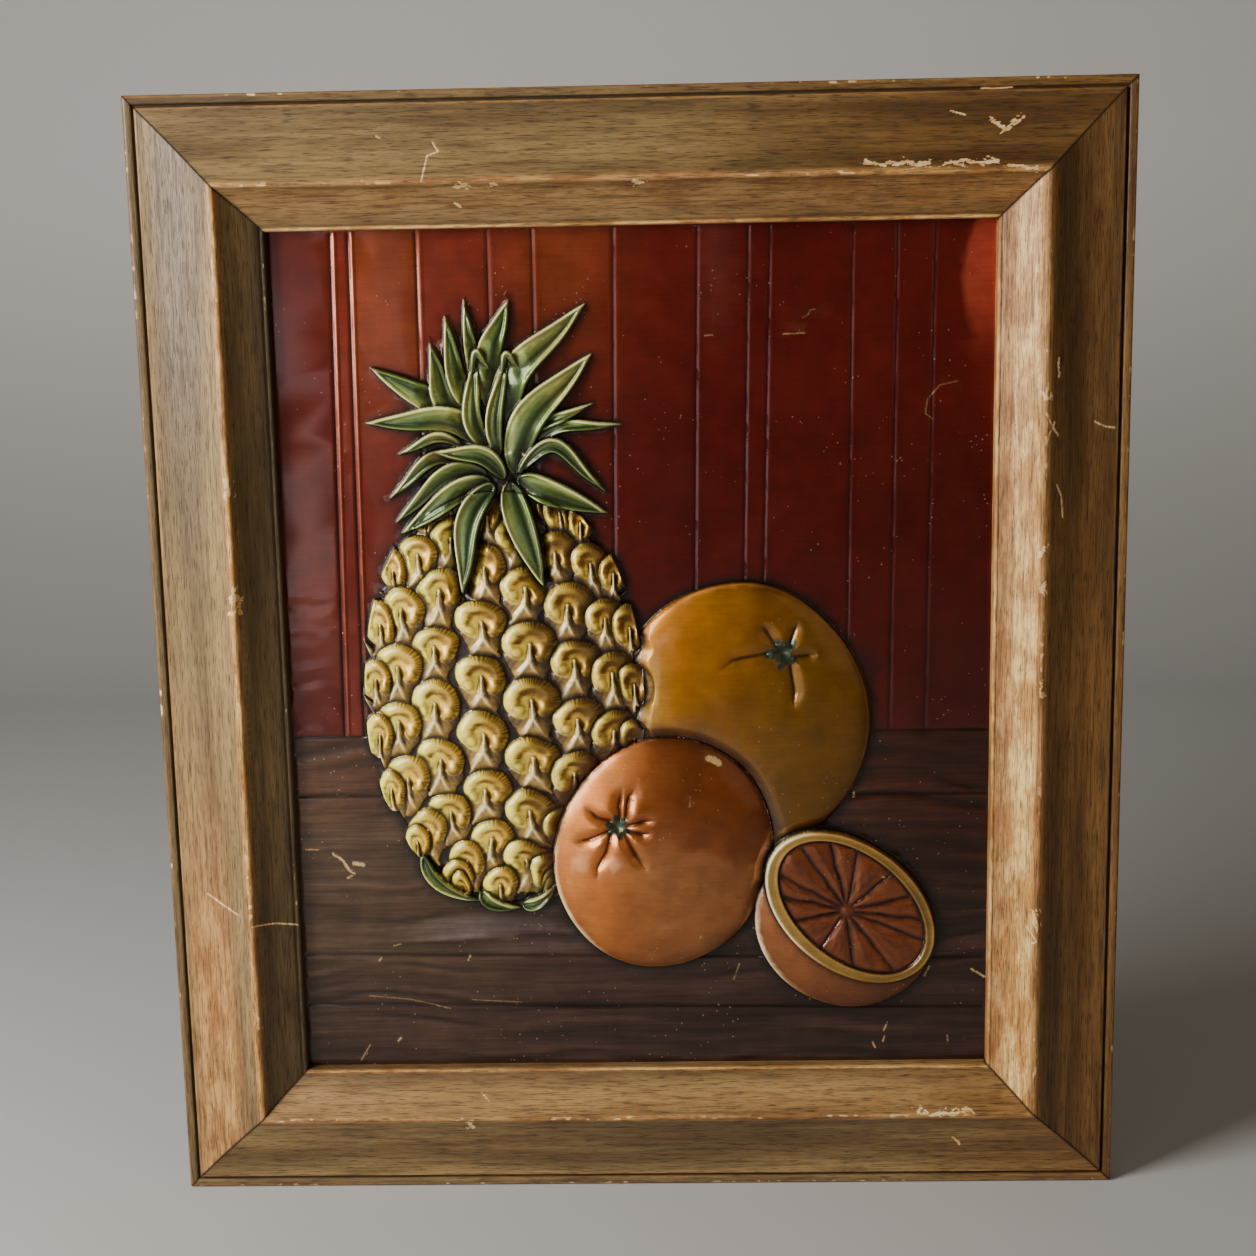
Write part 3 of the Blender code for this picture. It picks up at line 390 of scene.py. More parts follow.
class Picture:
    """The relief as grids: places, heights, lacquer colour, and where fruit covers the ground."""

    def __init__(self):
        columns = GRID_CELL * GRID_CELLS[0] + 1
        rows = GRID_CELL * GRID_CELLS[1] + 1
        self.step = 2 * HALF_SHEET[0] / (columns - 1)
        self.x, self.z = np.meshgrid(
            np.linspace(-HALF_SHEET[0], HALF_SHEET[0], columns),
            np.linspace(-HALF_SHEET[1], HALF_SHEET[1], rows),
        )
        self.height = np.zeros(self.x.shape)
        self.colour = np.zeros(self.x.shape + (3,))
        self.fruit = np.zeros(self.x.shape)
        self.table = np.zeros(self.x.shape)

    def at(self, field, x, z):
        """A field's values at places, blended from the four grid points round each."""
        rows, columns = self.x.shape
        across = np.clip((x / HALF_SHEET[0] + 1) / 2, 0, 1) * (columns - 1)
        up = np.clip((z / HALF_SHEET[1] + 1) / 2, 0, 1) * (rows - 1)
        column = np.minimum(across.astype(int), columns - 2)
        row = np.minimum(up.astype(int), rows - 2)
        across = (across - column).reshape((-1,) + (1,) * (field.ndim - 2))
        up = (up - row).reshape(across.shape)
        low = field[row, column] * (1 - across) + field[row, column + 1] * across
        high = field[row + 1, column] * (1 - across) + field[row + 1, column + 1] * across
        return low * (1 - up) + high * up

    def window(self, low, high):
        """The slices that hold the rectangle between two corners, and the places in it."""
        left, right = np.searchsorted(self.x[0], (low[0], high[0]))
        bottom, top = np.searchsorted(self.z[:, 0], (low[1], high[1]))
        part = slice(max(bottom - 1, 0), top + 1), slice(max(left - 1, 0), right + 1)
        return part, self.x[part], self.z[part]

    def lay(self, part, inside, top, colour, shade=0.55, haze=0.0, valley=VALLEY):
        """Lays a form over what is there, with a valley round it, in a window."""
        height = self.height[part]
        sunk = 0.5 * (1 - ease(0, valley, -inside)) * (inside < 0)
        height = np.where(height > 0, height * (1 - sunk), height)
        cover = ease(-EDGE / 2, EDGE / 2, inside)
        self.height[part] = height + (top - height) * cover
        strokes = noise(self.x[part], self.z[part], 0.011, 0.0018, 71)
        outside = np.minimum(inside * (1 - 0.35 * strokes), 0)
        under = mix(self.colour[part], HAZE, haze * bump(0, 0.0075, outside) * self.fruit[part])
        under = mix(under, SHADE, shade * bump(0, 0.0030, outside))
        self.colour[part] = mix(under, colour, cover)
        self.fruit[part] = np.maximum(self.fruit[part], cover)


def body_share(x, z):
    """The distance inside the pineapple's body and the radius as a share of its outline's."""
    across = (x - BODY_CENTRE[0]) / BODY_HALF_WIDTH
    up = z - BODY_CENTRE[1]
    upper = inside_oval(across, up / BODY_UP, BODY_HALF_WIDTH, BODY_UP, 2.3)
    lower = inside_oval(across, up / BODY_DOWN, BODY_HALF_WIDTH, BODY_DOWN, 1.9)
    return np.where(up > 0, upper[0], lower[0]), np.where(up > 0, upper[1], lower[1])


def body_half_width(z):
    """Half the body's width at a height, for one number."""
    up = z - BODY_CENTRE[1]
    half, power = (BODY_UP, 2.3) if up > 0 else (BODY_DOWN, 1.9)
    return BODY_HALF_WIDTH * max(0, 1 - (abs(up) / half) ** power) ** (1 / power)


def body_dome(x, z):
    """The pineapple's smooth body, without its fruitlets, falling to nothing at its outline."""
    _, share = body_share(x, z)
    return BODY_DOME * np.clip(1 - share**2.2, 0, 1) ** 0.75


def fruitlet_places():
    """Each fruitlet as (x, z, half width, half height): rows that rise to both sides, staggered by column."""
    places = []
    for column in range(-3, 5):
        turn = math.radians((column - 0.43) * COLUMN_TURN)
        smile = SMILE_ROWS * (1 - math.cos(turn - math.radians(SMILE_TURN)))
        for row in range(-5, 4):
            step = row + 0.5 * (1 - column % 2) + smile
            z = ROW_CENTRE + ROW_RADIUS * math.sin(math.radians(ROW_TURN * step))
            width = body_half_width(z)
            if width < 0.25 * BODY_HALF_WIDTH:
                continue
            narrowing = 0.45 + 0.55 * width / BODY_HALF_WIDTH
            half_width = FRUITLET_HALF_WIDTH * narrowing * math.cos(turn) ** 0.5
            half_height = FRUITLET_HALF_HEIGHT * (0.6 + 0.4 * narrowing)
            places.append((BODY_CENTRE[0] + width * math.sin(turn), z, half_width, half_height))
    return places


def fruitlet_hood(u, w):
    """The height of a fruitlet's arched hood with its two curled lobes, and the hood's radius share."""
    radius = np.hypot(u / 1.04, (w - 0.10) / 0.87)
    cap = np.clip(1 - radius**2, 0, 1) ** 0.4
    arch = bump(0.74, 0.22, radius) * ease(-0.8, 0.0, w)
    lobes = bump(0, 0.28, np.hypot(np.abs(u) - 0.52, w + 0.22))
    hollow = bump(0, 0.27, np.hypot(u * 0.85, w - 0.08))
    notch = bump(0.06, 0.20, u) * ease(0.10, -0.25, w)
    return cap * (0.56 + 0.30 * arch + 0.36 * lobes - 0.34 * hollow - 0.55 * notch), radius


def fruitlet_skirt(u, w, lean):
    """The tent below the lobes: its height, the distance to its spine and legs, and how much it covers."""
    reach = 0.58 + 0.40 * ease(-1.25, -0.45, w)
    cloth = ease(0, 0.10, reach - np.abs(u)) * ease(-0.25, -0.40, w) * ease(-1.50, -1.36, w)
    height = (0.50 - 0.22 * np.abs(u) / reach - 0.16 * ease(-0.6, -1.4, w)) * cloth
    nearest = np.full(u.shape, 9.0)
    for side in (-1, 1):
        spine = ((0.05 * lean, 0.06), (0.02 * lean, -0.58), (0.24 * side, -0.95), (0.54 * side, -1.45))
        away, share = near_line(u, w, spine)
        width = 0.16 + 0.58 * ease(0.08, 0.42, share) - 0.25 * ease(0.50, 1.0, share)
        ridge = (0.98 - 0.52 * share) * np.clip(1 - away / width, 0, 1) ** 1.9
        height = np.maximum(height, ridge)
        nearest = np.minimum(nearest, away)
    return height, nearest, np.maximum(cloth, ease(0.12, 0.04, nearest))


def hood_colour(u, w, radius, light, index, mottle):
    """Yellow on the left lobe as painted light, brown in the arch's hollow and olive on the right as painted
    shade, and a hatched dark rim, heavier on the right as painted shade.
    """
    turn = np.arctan2(w - 0.1, u)
    strokes = 0.5 + 0.5 * np.sin(46 * turn + 4 * np.sin(5 * turn + index))
    colour = mix(GOLD, YELLOW, np.clip(ease(0.45, -0.5, u) + 0.25 * mottle - 0.50 * light, 0, 1))
    hollow = bump(0.44, 0.15, radius) * ease(-0.15, 0.2, w) * (0.65 + 0.35 * strokes)
    colour = mix(colour, UMBER, np.clip(1.15 * hollow + 0.50 * mottle + 0.62 * light - 0.28, 0, 1))
    colour = mix(colour, OLIVE, (0.26 + 0.70 * light) * ease(-0.1, 0.6, u + 0.3 * w))
    curls = bump(0.20, 0.06, np.hypot(u + 0.50, w + 0.22)) + bump(0.24, 0.07, np.hypot(u - 0.52, w + 0.20))
    colour = mix(colour, UMBER * 0.8, 0.55 * np.clip(curls, 0, 1) * ease(0.2, 0.0, w))
    # The rim's painted shade is heaviest at the upper right of each hood and on the body's right
    rim = ease(0.50, 0.92, radius) * (0.16 + 0.84 * ease(-0.6, 0.6, u + 0.6 * w)) * (0.70 + 0.30 * light)
    colour = mix(colour, GAP_GREY, np.clip(rim * (0.20 + 1.0 * strokes), 0, 0.94))
    return mix(colour, SPINE_CREAM, 0.7 * bump(0.95, 0.04, radius) * ease(-0.15, -0.35, w))


def cloth_colour(u, w, nearest, light, mottle):
    """Tan lacquer with a pale spine and legs, palest on their left as painted highlight, and painted shade to
    the right of the spine and out to both sides.
    """
    fan = np.sin(34 * np.arctan2(u, 0.3 - w)) * ease(0.05, 0.2, nearest)
    outward = 0.18 * light + 0.62 * ease(0.04, 0.40, nearest) + 0.45 * light * ease(-0.1, 0.3, u)
    colour = mix(TAN, MAUVE, np.clip(outward + 0.25 * mottle + 0.16 * fan, 0, 1))
    colour = mix(colour, GAP_GREY, 0.60 * ease(0.45, 0.95, np.abs(u)))
    # Painted shadow to the right of the spine
    right_of_spine = bump(0.19, 0.15, u) * ease(0.02, 0.1, nearest)
    colour = mix(colour, GAP_GREY, 0.85 * right_of_spine * ease(-1.0, -0.62, w))
    between = ease(0, 0.08, 0.62 * (-0.62 - w) - np.abs(u)) * ease(-1.35, -0.95, w)
    colour = mix(colour, TAN, 0.7 * between)
    return mix(colour, SPINE_CREAM, 0.8 * bump(0, 0.055, nearest) * ease(0.40, -0.1, u))


# light: painted shade across the body, from 0 at its left to 1 at its right
def fruitlets(x, z, light):
    """The rise and colours of all fruitlets, laid from the top down, and how far inside one a place is."""
    rise = np.zeros_like(x)
    within = np.full(x.shape, -1.0)
    skin = np.zeros(x.shape + (3,))
    skin[:] = GAP_GREY
    warp_x = 0.0010 * noise(x, z, 0.010, 0.012, 61)
    warp_z = 0.0010 * noise(x, z, 0.012, 0.010, 62)
    mottle = 0.6 * noise(x, z, 0.0042, 0.0030, 63) + 0.5 * noise(x, z, 0.0060, 0.0014, 64)
    places = sorted(fruitlet_places(), key=lambda place: -place[1])
    for index, (centre_x, centre_z, half_width, half_height) in enumerate(places):
        near = (np.abs(x - centre_x) < 1.6 * half_width) & (np.abs(z - centre_z) < 1.6 * half_height)
        u = (x[near] + warp_x[near] - centre_x) / half_width
        w = (z[near] + warp_z[near] - centre_z) / half_height
        lean = math.sin(7.0 * index)
        u = (u + 0.10 * lean * w) * (1 + 0.07 * math.sin(11.0 * index))
        w = w * (1 + 0.07 * math.sin(5.0 * index)) - 0.07 * math.sin(3.0 * index) * u
        hood, radius = fruitlet_hood(u, w)
        skirt, nearest, cloth = fruitlet_skirt(u, w, lean)
        cover = np.maximum(ease(1.02, 0.93, radius), cloth)
        around = bump(0, 0.18, np.maximum(radius - 1, 0)) * ease(-0.9, 0.1, w + 0.3 * u)
        within[near] = np.maximum(within[near], half_width * (1 - radius) * np.where(radius > 1, 3, 1))
        own = hood_colour(u, w, radius, light[near], index, mottle[near])
        tent = cloth_colour(u, w, nearest, light[near], mottle[near])
        own = mix(own, tent, ease(-0.02, 0.05, skirt - hood))
        under = rise[near] * (1 - 0.75 * around)
        rise[near] = under + (np.maximum(hood, skirt) - under) * cover
        skin[near] = mix(mix(skin[near], GAP_GREY, 0.9 * around), own, cover)
    return FRUITLET_RISE * rise, skin, within


class Leaf:
    """A pointed leaf on a curve through base, middle and tip, with raised edges and a channel between."""

    def __init__(self, base, middle, tip, width, flick=0.30):
        base, middle, tip = (np.array(point) for point in (base, middle, tip))
        bend = 2 * middle - (base + tip) / 2
        self.ends = np.linspace(0, 1, 29)
        share = self.ends[:, None]
        self.line = (1 - share) ** 2 * base + 2 * share * (1 - share) * bend + share**2 * tip
        self.line += flick * (middle - (base + tip) / 2) * np.sin(2 * math.pi * share)
        self.reach = width

    def half_width(self, share):
        """Half the width at a share of the length: full near a third, and pointed at both ends."""
        return 1.12 * self.reach * np.clip(share, 0, 1) ** 0.42 * np.clip(1 - share, 0, 1) ** 0.88

    def spot(self, x, z):
        """The distance inside the leaf, the signed share of its half width, and the share of its length."""
        nearest, number, passed, side = nearest_run(x, z, self.line)
        length = self.ends[number] + passed * (self.ends[1] - self.ends[0])
        half = self.half_width(length)
        return half - nearest, side * np.clip(nearest / np.maximum(half, 1e-5), 0, 1), length

    def corners(self, margin):
        """The corners of a box round the leaf."""
        return self.line.min(axis=0) - margin, self.line.max(axis=0) + margin


def lay_leaf(picture, leaf, on_body):
    """A leaf: a channel between raised, pale edges, over the wall or over the body, painted lighter on the
    side that faces the light, with painted shade on its other side, in its channel and near its base.
    """
    part, x, z = picture.window(*leaf.corners(leaf.reach + VALLEY + 0.002))
    inside, across, length = leaf.spot(x, z)
    rise = LEAF_RISE * (0.4 + 0.6 * np.sin(math.pi * length**0.8))
    under = body_dome(x, z) + 0.35 * FRUITLET_RISE * (body_share(x, z)[0] > 0)
    off_edge = 0.0011 - inside
    rim = LEAF_RIM * bump(0, 0.00095, off_edge) + 0.45 * LEAF_RIM * np.abs(across) ** 1.5
    fold = 0.30 * LEAF_RIM * bump(0.0, 0.22, across)
    top = (under if on_body else 0) + rise + rim + fold
    run_x, run_z = leaf.line[-1] - leaf.line[0]
    lit = np.sign(0.8 * run_z + 0.5 * run_x) * across
    streaks = noise(length * 0.1, across * leaf.reach, 0.02, 0.0016, 11)
    tint = noise(x, z, 0.024, 0.028, 12)
    # Painted light and shade: lighter on the lit side, darker on the other side, in the channel and near the
    # base
    body = mix(LEAF_LIGHT, LEAF_GREEN, ease(0.75, 0.10, lit))
    body = mix(body, LEAF_YELLOW, 0.55 * ease(-0.1, 0.7, tint + 0.6 * ease(0.12, 0.20, z) - 0.2))
    body = mix(body, LEAF_GREY, 0.30 * ease(0.1, 0.7, -tint) * ease(0.15, 0.11, z))
    body = mix(body, LEAF_DARK, np.clip(0.88 * bump(-0.30, 0.30, lit) + 0.40 * bump(0.12, 0.10, lit), 0, 1))
    body = mix(body, LEAF_DARK, 0.60 * ease(0.36, 0.0, length))
    body = body * (1 + 0.30 * streaks[..., None])
    # Pale edges and tip; the edges and a band on the lit side are painted highlights
    pale = ease(0.0016, 0.0005, inside) * (0.04 + 0.62 * ease(-0.3, 0.9, lit)) * ease(0, 0.3, length)
    pale = np.maximum(pale, 0.50 * ease(0.45, 0.85, lit) * ease(0.25, 0.6, length) * ease(0.3, -0.3, tint))
    pale = np.maximum(pale, 0.6 * ease(0.90, 0.99, length))
    picture.lay(part, inside, top, mix(body, LEAF_PALE, pale), shade=0.40 + 0.35 * ease(0.15, 0.10, z))


def lay_body(picture):
    """The pineapple's body with its fruitlets and the spines at its outline."""
    for root, tip in SPINES:
        part, x, z = picture.window(np.minimum(root, tip) - 0.01, np.maximum(root, tip) + 0.01)
        away, share = near_line(x, z, (root, tip))
        half = 0.0030 * (1 - share) ** 0.9
        top = 0.0052 - 0.0022 * share + 0.0008 * (1 - np.clip(away / 0.003, 0, 1))
        colour = np.broadcast_to(SPINE_CREAM, away.shape + (3,))
        picture.lay(part, half - away, top, colour, shade=0.5)
    part, x, z = picture.window((-0.180, -0.172), (0.022, 0.120))
    inside, _ = body_share(x, z)
    # Painted shade across the body, growing to the right, passed to the fruitlets as light
    rise, skin, within = fruitlets(x, z, ease(-0.150, -0.010, x + 0.25 * z))
    inside = np.maximum(inside - 0.0026, np.minimum(within, inside + 0.0026))
    top = 0.0012 + body_dome(x, z) + rise
    picture.lay(part, inside, top, skin, shade=0.8, haze=0.7, valley=0.010)


def folds(x, z, stem, lines, wide):
    """How deep the stem's pit and the folds' sharp creases are, and how deep the folds' soft flanks are."""
    sharp = bump(0, 0.0060, np.hypot(x - stem[0], z - stem[1]))
    flank = sharp.copy()
    for points in lines:
        away, share = near_line(x, z, points)
        fade = ease(1.04, 0.45, share)
        sharp = np.maximum(sharp, bump(0, 0.0010, away) * fade)
        flank = np.maximum(flank, bump(0, wide, away) * fade)
    return sharp, flank


def star(x, z, middle, size, points, seed):
    """How much a dark stem with ragged points covers."""
    angle = np.arctan2(z - middle[1], x - middle[0])
    reach = np.hypot(x - middle[0], z - middle[1]) / size
    ragged = 0.26 * np.sin(points * angle + seed) + 0.12 * np.sin(3 * angle + 2 * seed)
    return ease(1.08, 0.86, reach + ragged)


def brushed(x, z, seed):
    """The level strokes of a brush across a lacquered fruit."""
    return 1 + 0.10 * noise(x, z, 0.018, 0.0034, seed)[..., None]


def soft_dents(x, z, seed):
    """The slight unevenness of a sheet worked by hand."""
    return 0.6 * noise(x, z, 0.021, 0.019, seed) + 0.4 * noise(x, z, 0.0095, 0.0105, seed + 1)


def dome(share, height, rim):
    """A round form's height: rim at its outline, and steep there."""
    return rim + height * np.sqrt(np.clip(1 - share**2, 0, 1))


def edge_shade(colour, inside):
    """A colour with painted shade towards the form's outline, and a thin painted highlight on the outline
    itself.
    """
    dark = mix(colour, colour * 0.35, 0.5 * bump(0, 0.006, np.maximum(inside, 0)))
    return mix(dark, colour * 1.5 + 0.03, 0.45 * bump(0.0010, 0.0007, inside))


def lay_grapefruit(picture):
    """The yellow fruit at the back, with a ragged stem and a few folds round it, gold at the upper left and
    olive to the right as painted light and shade, and with a painted highlight at its left beside the
    pineapple.
    """
    part, x, z = picture.window((-0.03, -0.13), (0.145, 0.056))
    inside, share = GRAPEFRUIT.spot(x, z)
    inside = inside + 0.0013 * noise(x, z, 0.036, 0.032, 27)
    sharp, flank = folds(x, z, GRAPEFRUIT_STEM, GRAPEFRUIT_FOLDS, 0.0042)
    top = dome(share, GRAPEFRUIT_DOME, 0.0015) - 0.0009 * sharp - 0.0020 * flank
    top += 0.00045 * soft_dents(x, z, 21)
    across = (x - GRAPEFRUIT.centre[0]) / GRAPEFRUIT.halves[0]
    # Painted light and shade: gold at the upper left, olive to the right
    colour = mix(GRAPE_GOLD, GRAPE_OLIVE, ease(-1.0, 0.55, across - 0.25 * (z + 0.04) / 0.08))
    bands = noise(x, z, 0.011, 0.06, 23)
    colour = colour * brushed(x, z, 24) * (1 + 0.12 * bands[..., None])
    # Painted highlight on the left shoulder beside the pineapple
    painted_left_highlight = 0.5 * ease(0.022, 0.004, x) * ease(0.02, -0.02, z)
    colour = mix(colour, LEAF_YELLOW * np.array([1, 0.8, 0.2]), painted_left_highlight)
    colour = mix(colour, GRAPE_OLIVE * 0.40, 0.65 * sharp)
    stem = star(x, z, GRAPEFRUIT_STEM, 0.0082, 5, 1.0)
    vein = bump(0.5, 0.12, noise(x, z, 0.003, 0.003, 26))
    colour = mix(colour, mix(STEM_GREEN, LEAF_GREY, 0.5 * vein), stem)
    picture.lay(part, inside, top, edge_shade(colour, inside), shade=0.8)


def lay_orange(picture):
    """The whole orange, puffed round its stem between the folds, and browner below a ragged line; lighter at
    the left and deeper to the right as painted light and shade, with two painted glints and a painted
    highlight on its left rim.
    """
    part, x, z = picture.window((-0.065, -0.200), (0.092, -0.030))
    inside, share = ORANGE.spot(x, z)
    inside = inside + 0.0008 * noise(x, z, 0.024, 0.026, 37)
    sharp, flank = folds(x, z, ORANGE_STEM, ORANGE_FOLDS, 0.0038)
    puffed = bump(0.0115, 0.0075, np.hypot(x - ORANGE_STEM[0], z - ORANGE_STEM[1]))
    top = dome(share, ORANGE_DOME, 0.002) + 0.0015 * puffed - 0.0012 * sharp - 0.0026 * flank
    top += 0.00035 * soft_dents(x, z, 31)
    across = (x - ORANGE.centre[0]) / ORANGE.halves[0]
    # Painted light and shade: lighter at the left, deeper to the right
    colour = mix(ORANGE_LIGHT, ORANGE_DEEP, ease(-0.95, 0.25, across - 0.10 * (z + 0.116) / 0.07))
    low = -0.1017 - 0.255 * (x + 0.005) - z + 0.004 * noise(x, z, 0.012, 0.012, 33)
    colour = mix(colour, ORANGE_DARK, 0.65 * ease(-0.45, 0.2, across) * ease(0.002, -0.012, low))
    lighter = ease(-0.0015, 0.0030, low) * ease(-0.55, 0.0, across)
    colour = mix(colour, ORANGE_BROWN, lighter * (0.55 + 0.2 * noise(x, z, 0.009, 0.006, 34)))
    colour = colour * brushed(x, z, 35)
    # Two painted glints left of the middle
    for middle, reach in (((-0.0350, -0.1185), 0.0060), ((-0.0150, -0.1200), 0.0048)):
        away = np.hypot(x - middle[0], 0.85 * (z - middle[1])) + 0.0022 * noise(x, z, 0.005, 0.005, 36)
        colour = mix(colour, ORANGE_GLINT, 0.45 * ease(reach, reach - 0.0022, away))
    colour = mix(colour, ORANGE_DARK * 0.45, 0.7 * sharp)
    stem = star(x, z, ORANGE_STEM, 0.0064, 6, 0.4)
    heart = 0.6 * bump(0, 0.0022, np.hypot(x + 0.0130, z + 0.0970))
    colour = mix(colour, mix(STEM_GREEN, LEAF_GREY, heart), stem)
    # Painted highlight on the left rim
    rim = bump(0.0012, 0.0009, inside) * ease(-0.45, -0.85, across)
    colour = mix(edge_shade(colour, inside), SPINE_CREAM, 0.55 * rim)
    picture.lay(part, inside, top, colour, shade=0.8, haze=0.8)


def lay_half_orange(picture):
    """A half orange: its skin bulges below a flat cut face with a raised peel and puffed segments. Skin and
    peel are lighter at the left with painted highlights on their left edges, and darker to the right, as
    painted light and shade; the segments have painted highlights.
    """
    part, x, z = picture.window((0.050, -0.226), (0.190, -0.090))
    in_skin, share = HALF_ORANGE.spot(x, z)
    in_cut, _ = CUT_FACE.spot(x, z)
    in_flesh, _ = FLESH.spot(x, z)
    off_wall = np.full(x.shape, 1.0)
    bend_x = 0.0006 * noise(x, z, 0.008, 0.008, 41)
    bend_z = 0.0006 * noise(x, z, 0.008, 0.008, 42)
    for end in SEGMENT_ENDS:
        away, _ = near_line(x + bend_x, z + bend_z, (SEGMENT_CORE, end))
        off_wall = np.minimum(off_wall, away)
    reach = np.hypot(x - SEGMENT_CORE[0], z - SEGMENT_CORE[1])
    core = bump(0, 0.0036, reach)
    off_peel = np.maximum(in_flesh - 0.0006, 1e-5)
    in_segment = (np.maximum(off_wall, 1e-5) ** -2.0 + off_peel ** -2.0) ** -0.5
    puffed = np.sqrt(np.clip(in_segment / 0.0050, 0, 1)) * ease(0.003, 0.007, reach)
    wall = ease(0.0019, 0.0007, in_segment)
    angle = np.arctan2(z - SEGMENT_CORE[1], x - SEGMENT_CORE[0])
    pulp = noise(angle * 0.03, reach, 0.0016, 0.0065, 43) + 0.6 * noise(x, z, 0.0022, 0.0022, 44)
    flesh = SEGMENT_DEPTH * ease(0, 0.0014, in_flesh) * (1.35 - 1.1 * puffed - 0.7 * core)
    flesh -= 0.00020 * pulp * ease(0, 0.003, in_flesh)
    face = HALF_ORANGE_DOME - CUT_TILT * (x - CUT_FACE.centre[0])
    lips = 0.0004 * (bump(0.0010, 0.0008, in_cut) + bump(-0.0006, 0.0008, in_flesh))
    skin = np.minimum(dome(share, HALF_ORANGE_DOME, 0.0015), face - 0.0008)
    cut = ease(-EDGE / 2, EDGE / 2, in_cut)
    top = skin + (face + lips - flesh - skin) * cut
    across = (x - HALF_ORANGE.centre[0]) / HALF_ORANGE.halves[0]
    # Painted light and shade: the skin lighter at the left, darker to the right, with a painted highlight on
    # its left edge
    rind = mix(RIND_LIGHT, RIND_DARK, ease(-1.0, 0.35, across)) * brushed(x, z, 45)
    lit_rim = 0.6 * bump(0.0010, 0.0009, in_skin) * ease(-0.3, -0.9, across)
    rind = mix(edge_shade(rind, in_skin), SPINE_CREAM, lit_rim)
    rind = mix(rind, rind * 0.35, bump(0.0, 0.0022, in_cut) * (in_cut < 0))
    # Painted light and shade: the peel darker to the right, with a painted highlight on its left edge
    peel = mix(PEEL, PEEL * 0.62, ease(-0.6, 0.9, across)) * brushed(x, z, 47)
    peel = mix(peel, SPINE_CREAM, 0.75 * bump(0.0008, 0.0010, in_cut) * ease(-0.1, -0.8, across))
    meat = mix(FLESH_ORANGE, FLESH_DARK, np.clip(0.95 * wall + 0.15 + 0.38 * pulp, 0, 1))
    # A lighter band inside each segment as painted highlight, and a lighter core
    meat = mix(meat, FLESH_ORANGE * 1.5, 0.4 * bump(0.0030, 0.0010, in_segment) + 0.6 * core)
    meat = mix(meat, FLESH_DARK * 0.6, 0.8 * bump(0, 0.0008, in_flesh))
    colour = mix(rind, peel, cut)
    colour = mix(colour, meat, ease(-0.0003, 0.0004, in_flesh))
    inside = np.maximum(in_skin, in_cut)
    picture.lay(part, inside, top, colour, shade=0.85)


def lay_ground(picture):
    """The boarded wall above the table's far edge, and the grained table below it."""
    x, z = picture.x, picture.z
    clear = np.minimum(HALF_SIGHT[0] - np.abs(x), HALF_SIGHT[1] - np.abs(z))
    on_wall = ease(-0.0006, 0.0006, z - TABLE_EDGE)
    share = (HALF_SIGHT[1] - z) / (HALF_SIGHT[1] - TABLE_EDGE)
    grooves = np.zeros_like(x)
    beads = np.zeros_like(x)
    for top, foot in WALL_JOINTS:
        away = (x - top - (foot - top) * share) / (WALL_JOINT_WIDTH / 2)
        grooves = np.maximum(grooves, bump(-0.5, 0.42, away))
        beads = np.maximum(beads, bump(0.5, 0.38, away))
    deeper = ease(-0.10, -0.155, x)
    wall = (0.0001 + 0.0004 * deeper) * beads - (0.0003 + 0.0004 * deeper) * grooves
    wall += 0.00030 * noise(x, z, 0.060, 0.085, 1) + 0.00012 * noise(x, z, 0.018, 0.03, 2)
    crinkled = ease(-0.170, -0.180, x) * ease(0.060, 0.030, z)
    crinkles = np.abs(noise(x, z + 0.002 * noise(x, z, 0.01, 0.05, 3), 0.03, 0.0065, 4))
    wall += 0.0006 * crinkled * (0.5 - crinkles)
    bend = 0.0065 * noise(x, z, 0.060, 0.030, 5) + 0.0016 * noise(x, z, 0.026, 0.012, 6)
    grain = noise(x, z + bend, 0.085, 0.0034, 7)
    joints = np.zeros_like(x)
    level = (x + HALF_SIGHT[0]) / (2 * HALF_SIGHT[0])
    for left, right in TABLE_JOINTS + ((TABLE_EDGE, TABLE_EDGE),):
        joints = np.maximum(joints, bump(0, 0.0011, z - left - (right - left) * level))
    table = 0.00026 * grain - 0.0006 * joints
    height = table + (wall - table) * on_wall
    picture.height = height * ease(0, LEDGE_EASE, clear)
    picture.table = 1 - on_wall
    on_table = table_colour(x, z, grain, joints)
    picture.colour = mix(on_table, wall_colour(x, z, share, grooves, beads), on_wall)


